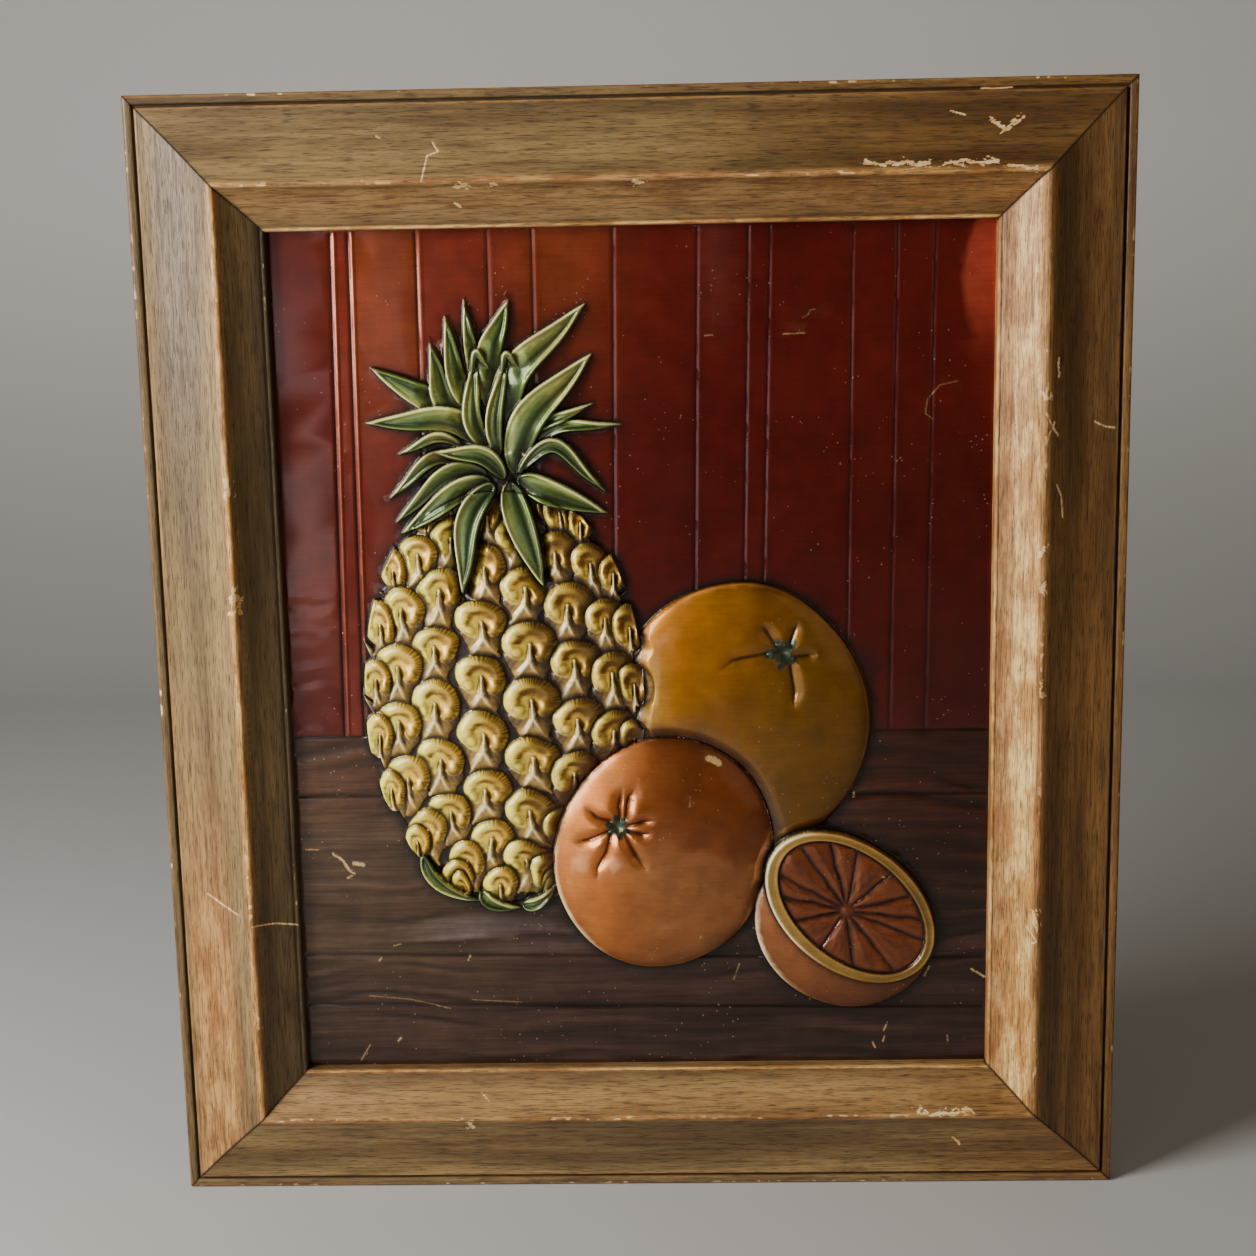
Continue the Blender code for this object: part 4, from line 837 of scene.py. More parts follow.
def wall_colour(x, z, share, grooves, beads):
    """Red-brown lacquer, warmer at the upper left and darker to the right, with painted reflections near the
    top, at the left edge and at the upper right corner, and paler beads, partly painted highlight.
    """
    colour = mix(WALL_RED, WALL_DARK, ease(-0.12, 0.03, x))
    colour = mix(colour, colour * np.array([0.62, 0.42, 0.10]), ease(-0.1685, -0.1715, x))
    board = ease(-0.1585, -0.156, x) * ease(-0.117, -0.120, x)
    colour = mix(colour, WALL_ORANGE, 0.75 * board * ease(0.10, 0.20, z))
    # Painted reflections: a warm glow near the top, a sheen at the left edge and a grey sheen near the top
    glow = bump(-0.040, 0.034, x) * ease(0.12, 0.24, z)
    colour = mix(colour, WALL_ORANGE * 1.15, 0.65 * glow)
    sheen = ease(-0.168, -0.175, x) * bump(0.045, 0.055, z)
    colour = mix(colour, WALL_SHEEN, 0.15 * sheen)
    grey = bump(0.047, 0.010, x) * ease(0.17, 0.22, z)
    colour = mix(colour, WALL_SHEEN * 0.6, 0.25 * grey)
    patches = 0.5 + 0.5 * noise(x, z, 0.045, 0.06, 9)
    low_right = ease(0.12, 0.19, x) * ease(0.06, -0.02, z)
    tone = (0.80 + 0.28 * patches) * (0.85 + 0.25 * ease(0.05, 0.22, z)) * (1 - 0.3 * low_right)
    colour = colour * tone[..., None]
    # Painted reflection: the gleam of a lit corner at the upper right
    edge = 0.184 + 7 * (z - 0.215) ** 2
    upward = 0.35 * ease(0.150, 0.190, z) + 0.65 * ease(0.178, 0.212, z)
    gleam = ease(edge - 0.0005, edge + 0.0040, x) * upward
    colour = mix(colour, WALL_GLEAM, 0.72 * gleam)
    colour = mix(colour, colour * 0.25, np.clip(0.85 * grooves + 0.3 * beads * ease(-0.05, 0.05, x), 0, 1))
    # Paler beads: partly rubbed lacquer, partly painted highlight, strongest at the left
    bright = beads * (0.05 + 0.95 * ease(-0.07, -0.15, x)) * (0.45 + 0.55 * ease(0.9, 0.1, share))
    return mix(colour, WALL_BEAD, 0.28 * bright)


def table_colour(x, z, grain, joints):
    """Brown lacquer with darker grain, darker to the right and towards the front, and a painted sheen streak
    left of the middle.
    """
    colour = mix(TABLE_BROWN, TABLE_DARK, 0.30 + 0.55 * ease(-0.20, 0.05, x))
    colour = mix(colour, TABLE_DARK, 0.50 * ease(-0.16, -0.22, z))
    colour = mix(colour, TABLE_RED, 0.85 * ease(0.09, 0.16, x) * ease(-0.17, -0.10, z))
    colour = mix(colour, TABLE_RED, 0.40 * ease(-0.10, -0.15, x) * ease(-0.11, -0.07, z))
    dim = 1 - 0.42 * ease(0.10, 0.18, x) * ease(-0.20, -0.12, z)
    dim -= 0.22 * ease(-0.05, -0.16, x) * ease(-0.19, -0.23, z)
    colour = colour * (dim * np.clip(1 + 0.60 * grain, 0.25, 2.0))[..., None]
    # Painted reflection: a sheen streak on the table left of the middle
    streak = bump(-0.0775, 0.042, x) * bump(-0.163, 0.009, z) * ease(-0.2, 0.9, grain)
    colour = mix(colour, TABLE_SHEEN, 0.40 * streak)
    return mix(colour, colour * 0.25, 0.8 * joints)


# Places where the lacquer is scratched through: a line through points, and its half width
SCRATCHES = (
    (((-0.199, -0.112), (-0.191, -0.1125)), 0.0006),
    (((-0.183, -0.115), (-0.1775, -0.119), (-0.174, -0.125), (-0.171, -0.127)), 0.0009),
    (((-0.171, -0.121), (-0.1655, -0.122)), 0.0013),
    (((-0.175, -0.130), (-0.172, -0.1285)), 0.0007),
    (((-0.149, -0.1725), (-0.145, -0.1715)), 0.0005),
    (((-0.1585, -0.182), (-0.157, -0.180)), 0.0005),
    (((-0.105, -0.1820), (-0.1035, -0.1790)), 0.0006),
    (((-0.149, -0.233), (-0.1475, -0.231)), 0.0006),
    (((-0.166, -0.235), (-0.172, -0.245)), 0.0004),
    (((0.057, -0.186), (0.0535, -0.196)), 0.0004),
    (((0.145, -0.224), (0.143, -0.229)), 0.0006),
    (((0.1435, -0.233), (0.1425, -0.236)), 0.0006),
    (((0.1365, -0.2365), (0.1380, -0.240)), 0.0006),
    (((0.1810, -0.2325), (0.1815, -0.236)), 0.0005),
    (((0.195, -0.191), (0.203, -0.196)), 0.0008),
    (((0.170, -0.189), (0.167, -0.195)), 0.0005),
    (((0.125, -0.081), (0.1248, -0.084)), 0.0006),
    (((0.183, 0.158), (0.173, 0.156), (0.166, 0.148), (0.165, 0.140), (0.169, 0.137)), 0.0003),
    (((0.041, 0.186), (0.0455, 0.1862)), 0.0004),
    (((0.085, 0.186), (0.097, 0.1864)), 0.0004),
    (((0.096, 0.195), (0.099, 0.1965), (0.100, 0.199), (0.103, 0.1995)), 0.0003),
    (((0.0400, -0.0575), (0.043, -0.0585), (0.0460, -0.0605)), 0.0020),
    (((-0.0632, 0.1212), (-0.0628, 0.1208)), 0.0009),
    (((0.0292, -0.081), (0.0287, -0.085)), 0.0004),
    (((0.0345, -0.165), (0.0335, -0.167)), 0.0005),
    (((0.1415, -0.1310), (0.1425, -0.1312)), 0.0007),
    (((-0.1040, -0.2070), (-0.074, -0.209)), 0.0003),
    (((-0.1650, -0.2040), (-0.140, -0.2065), (-0.117, -0.2125)), 0.0003),
)


def add_scratches(picture):
    """How far the lacquer is scratched through at each place."""
    worn = np.zeros(picture.x.shape)
    for points, half in SCRATCHES:
        part, x, z = picture.window(np.min(points, axis=0) - 0.003, np.max(points, axis=0) + 0.003)
        ragged = 0.0008 * noise(x, z, 0.0011, 0.0011, 51) + 0.0004 * noise(x, z, 0.0006, 0.0006, 52)
        away, _ = near_line(x, z, points)
        own = ease(half + 0.00030, half - 0.00010, away + np.abs(ragged) * min(1, half / 0.0007))
        worn[part] = np.maximum(worn[part], own * min(1, half / 0.0006))
    picture.colour = mix(picture.colour, SCRATCH_GOLD, 0.8 * worn)
    picture.height -= 0.00004 * worn


def finish_lacquer(picture):
    """Dark lacquer sprayed round the fruit and pooled in hollows, and rubbed thin on what stands out."""
    around = blur(picture.fruit, 0.0055, picture.step)
    sprayed = ease(0.02, 0.62, around) * (1 - picture.fruit) * (1 - 0.55 * ease(0.11, 0.18, picture.z))
    picture.colour = mix(picture.colour, SHADE, 0.80 * sprayed)
    fine = blur(picture.height, 0.0008, picture.step) - picture.height
    wide = blur(picture.height, 0.0026, picture.step) - picture.height
    pooled = np.clip(0.75 * ease(0.00003, 0.0005, fine) + 0.55 * ease(0.0002, 0.0018, wide), 0, 0.88)
    rubbed = ease(0.00006, 0.00045, -fine)
    picture.colour = mix(picture.colour, picture.colour * 0.18 + SHADE * 0.15, pooled)
    lighter = np.minimum(picture.colour * 1.55 + 0.02, 0.95)
    picture.colour = mix(picture.colour, lighter, 0.7 * rubbed)


def make_picture():
    picture = Picture()
    lay_ground(picture)
    lay_grapefruit(picture)
    lay_body(picture)
    for row in BASE_LEAVES:
        lay_leaf(picture, Leaf(*row, flick=0.0), False)
    for row in LEAVES:
        lay_leaf(picture, Leaf(*row), True)
    lay_orange(picture)
    lay_half_orange(picture)
    finish_lacquer(picture)
    add_scratches(picture)
    return picture


def split_sides(fields, error, before, size, longest):
    """Sets the errors of the points that halve the level sides of squares of this size."""
    half = size // 2
    own = np.zeros(error[::size, half::size].shape)
    for field in fields:
        ends = field[::size, :-1:size] + field[::size, size::size]
        own = np.maximum(own, np.abs(field[::size, half::size] - ends / 2))
    rows, columns = own.shape
    for down in (0, half) if size > 2 else ():
        for across in (0, half):
            own = np.maximum(own, before[down::size, half + across::size][:rows, :columns])
    error[::size, half::size] = 2 if size > longest else own


def split_middles(fields, error, size, longest):
    """Sets the errors of the points that halve the diagonals of squares of this size."""
    half = size // 2
    own = np.zeros(error[half::size, half::size].shape)
    even = (np.add.outer(np.arange(own.shape[0]), np.arange(own.shape[1])) % 2) == 0
    for field in fields:
        low_left, low_right = field[:-1:size, :-1:size], field[:-1:size, size::size]
        top_left, top_right = field[size::size, :-1:size], field[size::size, size::size]
        ends = np.where(even, low_left + top_right, low_right + top_left)
        own = np.maximum(own, np.abs(field[half::size, half::size] - ends / 2))
    for ends in (slice(None, -1, size), slice(size, None, size)):
        own = np.maximum(own, error[ends, half::size])
        own = np.maximum(own, error[half::size, ends])
    error[half::size, half::size] = 2 if size > longest else own


def split_errors(fields, cell, longest):
    """At each grid point, how badly the mesh would miss the fields if it left that point out.

    Every square is halved along a diagonal, and every halving after that goes through the middle of the
    longest side. A point's error is never less than the errors of the points that depend on it, so halving
    wherever it is over 1 leaves no cracks.
    """
    error = np.zeros(fields[0].shape)
    size = 2
    while size <= cell:
        before = np.pad(error, size // 4)
        split_sides(fields, error, before, size, longest)
        split_sides([field.T for field in fields], error.T, before.T, size, longest)
        split_middles(fields, error, size, longest)
        size *= 2
    return error


def halve_squares(error, cell):
    """The triangles, as grid point numbers, that halving leaves wherever the error is over 1."""
    rows, columns = error.shape
    row, column = (grid.ravel() for grid in np.meshgrid(
        np.arange(0, rows - 1, cell), np.arange(0, columns - 1, cell), indexing="ij"
    ))
    even = ((row + column) // cell % 2) == 0
    low_left = np.column_stack([row, column])
    low_right = np.column_stack([row, column + cell])
    top_left = np.column_stack([row + cell, column])
    top_right = np.column_stack([row + cell, column + cell])
    even = even[:, None]
    first = np.where(even, low_left, low_right)
    second = np.where(even, top_right, top_left)
    a = np.concatenate([first, second])
    b = np.concatenate([second, first])
    c = np.concatenate([np.where(even, top_left, low_left), np.where(even, low_right, top_right)])
    done = []
    while len(a):
        middle = (a + b) // 2
        splits = ((a + b) % 2 == 0).all(axis=1)
        splits &= error[middle[:, 0], middle[:, 1]] > 1
        done.append(np.stack([a[~splits], b[~splits], c[~splits]], axis=1))
        a, b, c, middle = a[splits], b[splits], c[splits], middle[splits]
        a, b, c = np.concatenate([c, b]), np.concatenate([a, c]), np.concatenate([middle, middle])
    faces = np.concatenate(done)
    return faces[..., 0] * columns + faces[..., 1]


def used_points(faces):
    """The grid points that the faces use, and the faces renumbered to them."""
    used, names = np.unique(faces.ravel(), return_inverse=True)
    return used, names.reshape(faces.shape)


def border_loop(faces, count):
    """The vertices round the open edge of faces, in order."""
    edges = np.concatenate([faces[:, [0, 1]], faces[:, [1, 2]], faces[:, [2, 0]]])
    there = edges[:, 0].astype(np.int64) * count + edges[:, 1]
    back = edges[:, 1].astype(np.int64) * count + edges[:, 0]
    after = {int(start): int(end) for start, end in edges[~np.isin(there, back)]}
    start = min(after)
    loop = [start]
    while after[loop[-1]] != start:
        loop.append(after[loop[-1]])
    return loop


def new_object(name, vertices, faces, material, extra=()):
    """A mesh object from arrays of vertices and triangles, with extra faces of any size."""
    mesh = bpy.data.meshes.new(name)
    mesh.from_pydata(np.asarray(vertices).tolist(), [], np.asarray(faces).tolist() + [list(f) for f in extra])
    mesh.materials.append(material)
    item = bpy.data.objects.new(name, mesh)
    bpy.context.scene.collection.objects.link(item)
    return item


def point_colours(item, name, values):
    """A colour attribute on an object's points."""
    layer = item.data.color_attributes.new(name, "FLOAT_COLOR", "POINT")
    layer.data.foreach_set("color", np.asarray(values, np.float32).ravel())


def sheet_point(x, z, height):
    """Places on the picture and heights, as points of the part."""
    return np.column_stack([x, BACK_Y - GROUND_DEPTH - height, PICTURE_Z + z])


def sheet_back(picture, loop_places):
    """The sheet's plain back: flat at its edge, and following the front in coarse steps."""
    columns = round(2 * HALF_SHEET[0] / BACK_CELL)
    rows = round(2 * HALF_SHEET[1] / BACK_CELL)
    x, z = np.meshgrid(
        np.linspace(-HALF_SHEET[0], HALF_SHEET[0], columns + 1)[1:-1],
        np.linspace(-HALF_SHEET[1], HALF_SHEET[1], rows + 1)[1:-1],
    )
    inner = np.column_stack([x.ravel(), z.ravel()])
    points = [Vector(place) for place in np.concatenate([loop_places, inner])]
    places, _, faces, *_ = delaunay_2d_cdt(points, [], [], 0, 1e-7, False)
    flat = np.array([(place.x, place.y) for place in places])
    height = np.full(len(flat), -SHEET_THICKNESS)
    for index, (px, pz) in enumerate(flat):
        if max(abs(px) / HALF_SHEET[0], abs(pz) / HALF_SHEET[1]) < 0.999:
            around = picture.window((px - BACK_CELL, pz - BACK_CELL), (px + BACK_CELL, pz + BACK_CELL))
            height[index] = max(picture.height[around[0]].min(), 0) - SHEET_THICKNESS
    return flat, height, [tuple(face) for face in faces]


def front_mesh(picture):
    """The front's places and triangles: halved squares, thinned out where height and colour change least."""
    fields = [picture.height / HEIGHT_TOLERANCE]
    fields += [np.cbrt(picture.colour[..., channel]) / COLOUR_TOLERANCE for channel in range(3)]
    error = split_errors(fields, GRID_CELL, GRID_CELL // 2)
    used, faces = used_points(halve_squares(error, GRID_CELL))
    tone = np.cbrt(picture.colour @ np.array([0.4, 0.5, 0.1]))
    field = HEIGHT_WEIGHT * picture.height + TONE_WEIGHT * tone
    places = np.column_stack([grid.ravel()[used] for grid in (picture.x, picture.z, field)])
    draft = new_object("front draft", places, faces, None)
    fewer = draft.modifiers.new("fewer", "DECIMATE")
    fewer.ratio = FRONT_FACES / len(faces)
    thinned = draft.evaluated_get(bpy.context.evaluated_depsgraph_get()).to_mesh()
    places, faces = mesh_arrays(thinned)
    bpy.data.objects.remove(draft)
    flat = places[:, :2]
    edges = np.array(HALF_SHEET)
    snapped = np.where(np.abs(np.abs(flat) - edges) < 0.0001, np.sign(flat) * edges, flat)
    return snapped[:, 0], snapped[:, 1], faces


def make_sheet(picture, material):
    """The copper sheet: a fine front, a plain back and the thin wall between their edges."""
    x, z, faces = front_mesh(picture)
    front = sheet_point(x, z, picture.at(picture.height, x, z))
    loop = border_loop(faces, len(x))
    loop_places = np.column_stack([x[loop], z[loop]])
    flat, height, back_faces = sheet_back(picture, loop_places)
    rear = sheet_point(flat[:, 0], flat[:, 1], height)
    first = len(front)
    rear_at = [first + int(np.hypot(*(flat - place).T).argmin()) for place in loop_places]
    extra = [tuple(first + index for index in reversed(face)) for face in back_faces]
    for index, start in enumerate(loop):
        after = (index + 1) % len(loop)
        extra.append((start, rear_at[index], rear_at[after], loop[after]))
    sheet = new_object("copper_sheet", np.concatenate([front, rear]), faces, material, extra)
    colours = np.zeros((len(front) + len(rear), 4))
    colours[:first, :3] = picture.at(picture.colour, x, z)
    colours[:first, 3] = picture.at(picture.table * (1 - picture.fruit), x, z)
    colours[first:, :3] = linear(150, 82, 50)
    point_colours(sheet, "lacquer", colours)
    turn_outward(sheet)
    sheet.data.shade_smooth()
    sheet.data.set_sharp_from_angle(angle=math.radians(75))
    print(f"copper_sheet: {len(faces) + len(extra)} faces")
    return sheet


def mesh_arrays(mesh):
    """A mesh's places and its triangles, as arrays."""
    mesh.calc_loop_triangles()
    faces = np.empty(len(mesh.loop_triangles) * 3, np.int32)
    mesh.loop_triangles.foreach_get("vertices", faces)
    places = np.empty(len(mesh.vertices) * 3, np.float32)
    mesh.vertices.foreach_get("co", places)
    return places.reshape(-1, 3).astype(float), faces.reshape(-1, 3)


def turn_outward(item):
    """Flips all faces if the mesh is inside out."""
    places, faces = mesh_arrays(item.data)
    a, b, c = places[faces].swapaxes(0, 1)
    if np.einsum("ij,ij->i", a, np.cross(b, c)).sum() < 0:
        item.data.flip_normals()


def arc(centre, radius, turns):
    """Points (inward, forward) round a centre, at turns in degrees."""
    angles = [math.radians(turn) for turn in turns]
    return [(centre[0] + radius * math.cos(angle), centre[1] + radius * math.sin(angle)) for angle in angles]


def rail_profile():
    """Points (inward, forward) across a rail's front, from the outer back edge to the sight edge's rebate."""
    lip = [(0, -0.0014), (0.0006, -0.0004), (0.0016, 0), (0.0042, 0), (0.0050, -0.0005)]
    quirk = [(0.0054, -0.0018), (0.0064, -0.0018), (0.0068, 0.0004)]
    points = [(0, 0)] + [(inward, LIP_DEPTH + forward) for inward, forward in lip + quirk]
    scoop_start = (0.0076, LIP_DEPTH + 0.0008)
    scoop_end = (0.0470, RAIL_DEPTH - 0.0012)
    for step in range(25):
        share = step / 24
        inward = scoop_start[0] + share * (scoop_end[0] - scoop_start[0])
        forward = scoop_start[1] + share**1.6 * (scoop_end[1] - scoop_start[1])
        points.append((inward, forward))
    ridge_radius = 0.0026
    points += arc((RIDGE_INWARD, RAIL_DEPTH - 0.0002 - ridge_radius), ridge_radius, range(128, 27, -10))
    slope_start = (0.0523, RAIL_DEPTH - 0.0024)
    slope_end = (0.0718, LIP_DEPTH + 0.0016)
    sag = 0.0011
    for step in range(15):
        share = step / 14
        inward = slope_start[0] + share * (slope_end[0] - slope_start[0])
        forward = slope_start[1] + share * (slope_end[1] - slope_start[1]) - 4 * sag * share * (1 - share)
        points.append((inward, forward))
    bead_radius = 0.0015
    points += arc((RAIL_WIDTH - bead_radius, LIP_DEPTH - 0.0006), bead_radius, range(135, -1, -15))
    return np.array(points + [(RAIL_WIDTH, REBATE_DEPTH)])


# Chips and scratches on each rail, along it from its middle and inward from its outer edge. Along is to the
# right on the top and bottom rails, and up on the left and right rails.
CHIPS = {
    "top": (
        (((0.128, 0.0440), (0.140, 0.0460), (0.152, 0.0450), (0.164, 0.0465)), 0.0010),
        (((0.206, 0.047), (0.222, 0.050)), 0.0010),
        (((0.198, 0.0230), (0.207, 0.0285), (0.216, 0.0220)), 0.0008),
        (((0.203, 0.0300), (0.211, 0.0240)), 0.0007),
        (((0.176, 0.0175), (0.184, 0.0200)), 0.0003),
        (((0.171, 0.0465), (0.180, 0.0450), (0.192, 0.0460), (0.200, 0.0455)), 0.0009),
        (((0.193, 0.006), (0.210, 0.006)), 0.0005),
        (((-0.113, 0.050), (-0.110, 0.036), (-0.104, 0.034), (-0.107, 0.029)), 0.0003),
        (((-0.094, 0.052), (-0.088, 0.052)), 0.0010),
        (((-0.075, 0.052), (-0.072, 0.052)), 0.0008),
        (((0.004, 0.053), (0.008, 0.053)), 0.0012),
        (((-0.096, 0.062), (-0.093, 0.064)), 0.0006),
        (((-0.138, 0.025), (-0.136, 0.026)), 0.0004),
    ),
    "bottom": (
        (((-0.098, 0.062), (-0.094, 0.058)), 0.0007),
        (((-0.106, 0.046), (-0.103, 0.044)), 0.0010),
        (((0.160, 0.052), (0.180, 0.051), (0.194, 0.052)), 0.0011),
        (((0.183, 0.032), (0.187, 0.027)), 0.0007),
        (((0.246, 0.040), (0.247, 0.036)), 0.0012),
    ),
    "left": (
        (((0.103, 0.050), (0.112, 0.051)), 0.0012),
        (((0.036, 0.049), (0.050, 0.051)), 0.0024),
        (((-0.135, 0.022), (-0.142, 0.034), (-0.146, 0.042)), 0.0004),
        (((-0.152, 0.050), (-0.153, 0.062), (-0.156, 0.074)), 0.0003),
        (((-0.205, 0.050), (-0.215, 0.051)), 0.0010),
    ),
    "right": (
        (((0.165, 0.0650), (0.150, 0.0655), (0.136, 0.0645), (0.121, 0.0650)), 0.0005),
        (((0.132, 0.0610), (0.124, 0.0600), (0.117, 0.0625)), 0.0006),
        (((0.171, 0.0430), (0.166, 0.0435), (0.161, 0.0425)), 0.0006),
        (((0.153, 0.0520), (0.149, 0.0500)), 0.0010),
        (((0.141, 0.0500), (0.133, 0.0460), (0.128, 0.0430)), 0.0006),
        (((0.136, 0.0455), (0.126, 0.0490)), 0.0007),
        (((0.101, 0.0430), (0.094, 0.0400), (0.082, 0.0390)), 0.0004),
        (((0.135, 0.0210), (0.132, 0.0150), (0.131, 0.0090)), 0.0003),
        (((0.066, 0.0490), (0.061, 0.0510)), 0.0010),
        (((0.040, 0.050), (0.046, 0.050)), 0.0009),
        (((-0.020, 0.050), (-0.012, 0.050)), 0.0010),
        (((-0.160, 0.050), (-0.148, 0.051)), 0.0009),
        (((-0.170, 0.056), (-0.166, 0.050), (-0.158, 0.055)), 0.0004),
    ),
}


def rail_wear(along, inward, forward, name, seed):
    """How worn through the stain is, from 0 to 1, with specks along the ridge and the lip."""
    slant = along + 1.2 * inward
    ragged = 1.1 * noise(slant, inward - 0.35 * along, 0.0042, 0.0011, seed)
    ragged += 0.5 * noise(along, inward, 0.0012, 0.0008, seed + 1)
    worn = np.zeros(along.shape)
    for points, half in CHIPS[name]:
        low = np.min(points, axis=0) - 0.004
        high = np.max(points, axis=0) + 0.004
        near = (along > low[0]) & (along < high[0]) & (inward > low[1]) & (inward < high[1])
        wander = max(half - 0.0003, 0) * 2.2 * noise(along[near], inward[near], 0.0045, 0.0045, seed + 8)
        away, _ = near_line(along[near], inward[near] + wander, points)
        rough = max(half - 0.0003, 0) * 1.6 * np.abs(ragged[near])
        flakes = ease(0.004, 0.001, away) * ease(0.55, 0.75, ragged[near]) * (half > 0.0007)
        own = np.maximum(ease(half + 0.0003, half - 0.0001, away + rough), flakes)
        worn[near] = np.maximum(worn[near], own)
    patches = line_noise(along, 0.031, seed + 2) + 0.5 * line_noise(along, 0.009, seed + 3)
    specks = noise(along, inward, 0.0030, 0.0016, seed + 4)
    for place, width, amount in ((RIDGE_INWARD, 0.0012, 0.9), (0.0010, 0.0008, 0.9), (0.0740, 0.0007, 0.5)):
        rub = bump(place, width, inward) * ease(-0.1, 0.9, patches + 0.3) * ease(0.20, 0.6, specks)
        worn = np.maximum(worn, amount * rub)
    return worn * (forward > 0.012)


def rail_corners(half_length, half_across, place, front_length):
    """The rebate's and the back's corners at both ends of a rail, and their places in the grain."""
    inner = RAIL_WIDTH - REBATE_WIDTH
    corners = []
    grain = []
    for side in (-1, 1):
        for depth, around in ((REBATE_DEPTH, front_length + REBATE_WIDTH), (0, -inner)):
            end = side * (half_length - inner - MITRE_CUT)
            x, z = place(end, half_across - inner)
            corners.append((x, BACK_Y - depth, PICTURE_Z + z))
            grain.append((end, around, 0))
    return corners, grain


def rail_caps(used, loop, rows, columns):
    """The faces that close a rail behind its front: its outer side, rebate, back and two mitred ends."""
    row_of = used // columns
    column_of = used % columns
    ledge_left, back_left, ledge_right, back_right = range(len(used), len(used) + 4)
    outer_edge = sorted([v for v in loop if row_of[v] == 0], key=lambda v: column_of[v])
    inner_edge = sorted([v for v in loop if row_of[v] == rows - 1], key=lambda v: column_of[v])
    left = sorted([v for v in loop if column_of[v] == 0], key=lambda v: row_of[v])
    right = sorted([v for v in loop if column_of[v] == columns - 1], key=lambda v: row_of[v])
    return [
        outer_edge + [back_right, back_left],
        inner_edge[::-1] + [ledge_left, ledge_right],
        (ledge_left, back_left, back_right, ledge_right),
        left[::-1] + [back_left, ledge_left],
        right + [ledge_right, back_right],
    ]


def make_rail(name, half_length, half_across, place, material, seed):
    """A mitred rail with a fine front. place turns (along, outward distance) into x and z."""
    profile = rail_profile()
    runs = np.linalg.norm(np.diff(profile, axis=0), axis=1)
    length = np.concatenate([[0], np.cumsum(runs)])
    rows = RAIL_CELL * RAIL_CELLS[1] + 1
    columns = RAIL_CELL * RAIL_CELLS[0] + 1
    stretched = np.concatenate([[0], np.cumsum(runs * np.where(length[:-1] < length[1], 0.25, 1.0))])
    spots = np.interp(np.linspace(0, stretched[-1], rows), stretched, length)
    inward = np.interp(spots, length, profile[:, 0])[:, None] + np.zeros(columns)
    forward = np.interp(spots, length, profile[:, 1])[:, None] + np.zeros(columns)
    share = np.linspace(-1, 1, columns)
    along = share * (half_length - inward - MITRE_CUT)
    worn = rail_wear(along, inward, forward, name, seed)
    front = ease(0.012, 0.015, forward) * ease(1.0, 0.97, np.abs(share))
    dent = 0.00010 * noise(along, inward, 0.024, 0.018, seed + 7) - 0.00018 * worn
    surface = forward + dent * front
    x, z = place(along, half_across - inward)
    mitre = ease(0.0014, 0.0004, (1 - np.abs(share)) * (half_length - inward))
    fields = [surface / HEIGHT_TOLERANCE, inward / INWARD_TOLERANCE]
    fields += [worn / WEAR_TOLERANCE, mitre / MITRE_TOLERANCE]
    error = split_errors(fields, RAIL_CELL, RAIL_CELL)
    used, faces = used_points(halve_squares(error, RAIL_CELL))
    points = np.column_stack([x.ravel()[used], BACK_Y - surface.ravel()[used], PICTURE_Z + z.ravel()[used]])
    corners, corner_grain = rail_corners(half_length, half_across, place, length[-1])
    caps = rail_caps(used, border_loop(faces, len(used)), rows, columns)
    rail = new_object(f"{name}_rail", np.concatenate([points, corners]), faces, material, caps)
    turn_outward(rail)
    rail.data.shade_smooth()
    rail.data.set_sharp_from_angle(angle=math.radians(50))
    # Dark mitre joints, with the darker places and painted shade of each rail
    dark_and_shade = np.maximum(rail_dark_and_shade(along, inward, forward, name), 0.8 * mitre)
    # Pale: rubbed thin, with painted highlights and sheen
    paleness = rail_rubbed_and_sheen(along, inward, name, seed)
    masks = np.zeros((len(points) + 4, 4))
    for channel, mask in enumerate((worn, dark_and_shade, paleness, rail_painted_warm_light(along, name))):
        masks[:-4, channel] = mask.ravel()[used]
    point_colours(rail, "wear_and_painted_light", masks)
    grain = np.zeros((len(points) + 4, 3))
    grain[:-4, 0] = along.ravel()[used]
    grain[:-4, 1] = np.repeat(spots, columns)[used]
    grain[-4:] = corner_grain
    grain += (seed * 0.37, seed * 0.11, 0)
    layer = rail.data.attributes.new("grain", "FLOAT_VECTOR", "POINT")
    layer.data.foreach_set("vector", grain.astype(np.float32).ravel())
    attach(rail, "root")
    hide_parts(f"frame_{name}_rail")
    print(f"{name}_rail: {len(faces)} faces")
    return rail


# How pale each rail is, rubbed thin and with painted highlights and sheen, and how dark it is, partly with
# painted shade
PALE_RIDGE = {"top": 0.9, "bottom": 0.9, "left": 1.6, "right": 0.9}
PALE_SLOPE = {"top": 0.45, "bottom": 0.40, "left": 0.0, "right": 1.5}
PALE_BEAD = {"top": 1.3, "bottom": 1.3, "left": 0.0, "right": 1.8}
DARK_SLOPE = {"top": 0.08, "bottom": 0.0, "left": 0.74, "right": 0.0}
DARK_LIP = {"top": 0.34, "bottom": 0.12, "left": 0.56, "right": 0.20}
DARK_SIGHT_EDGE = {"top": 0.25, "bottom": 0.25, "left": 0.8, "right": 0.25}


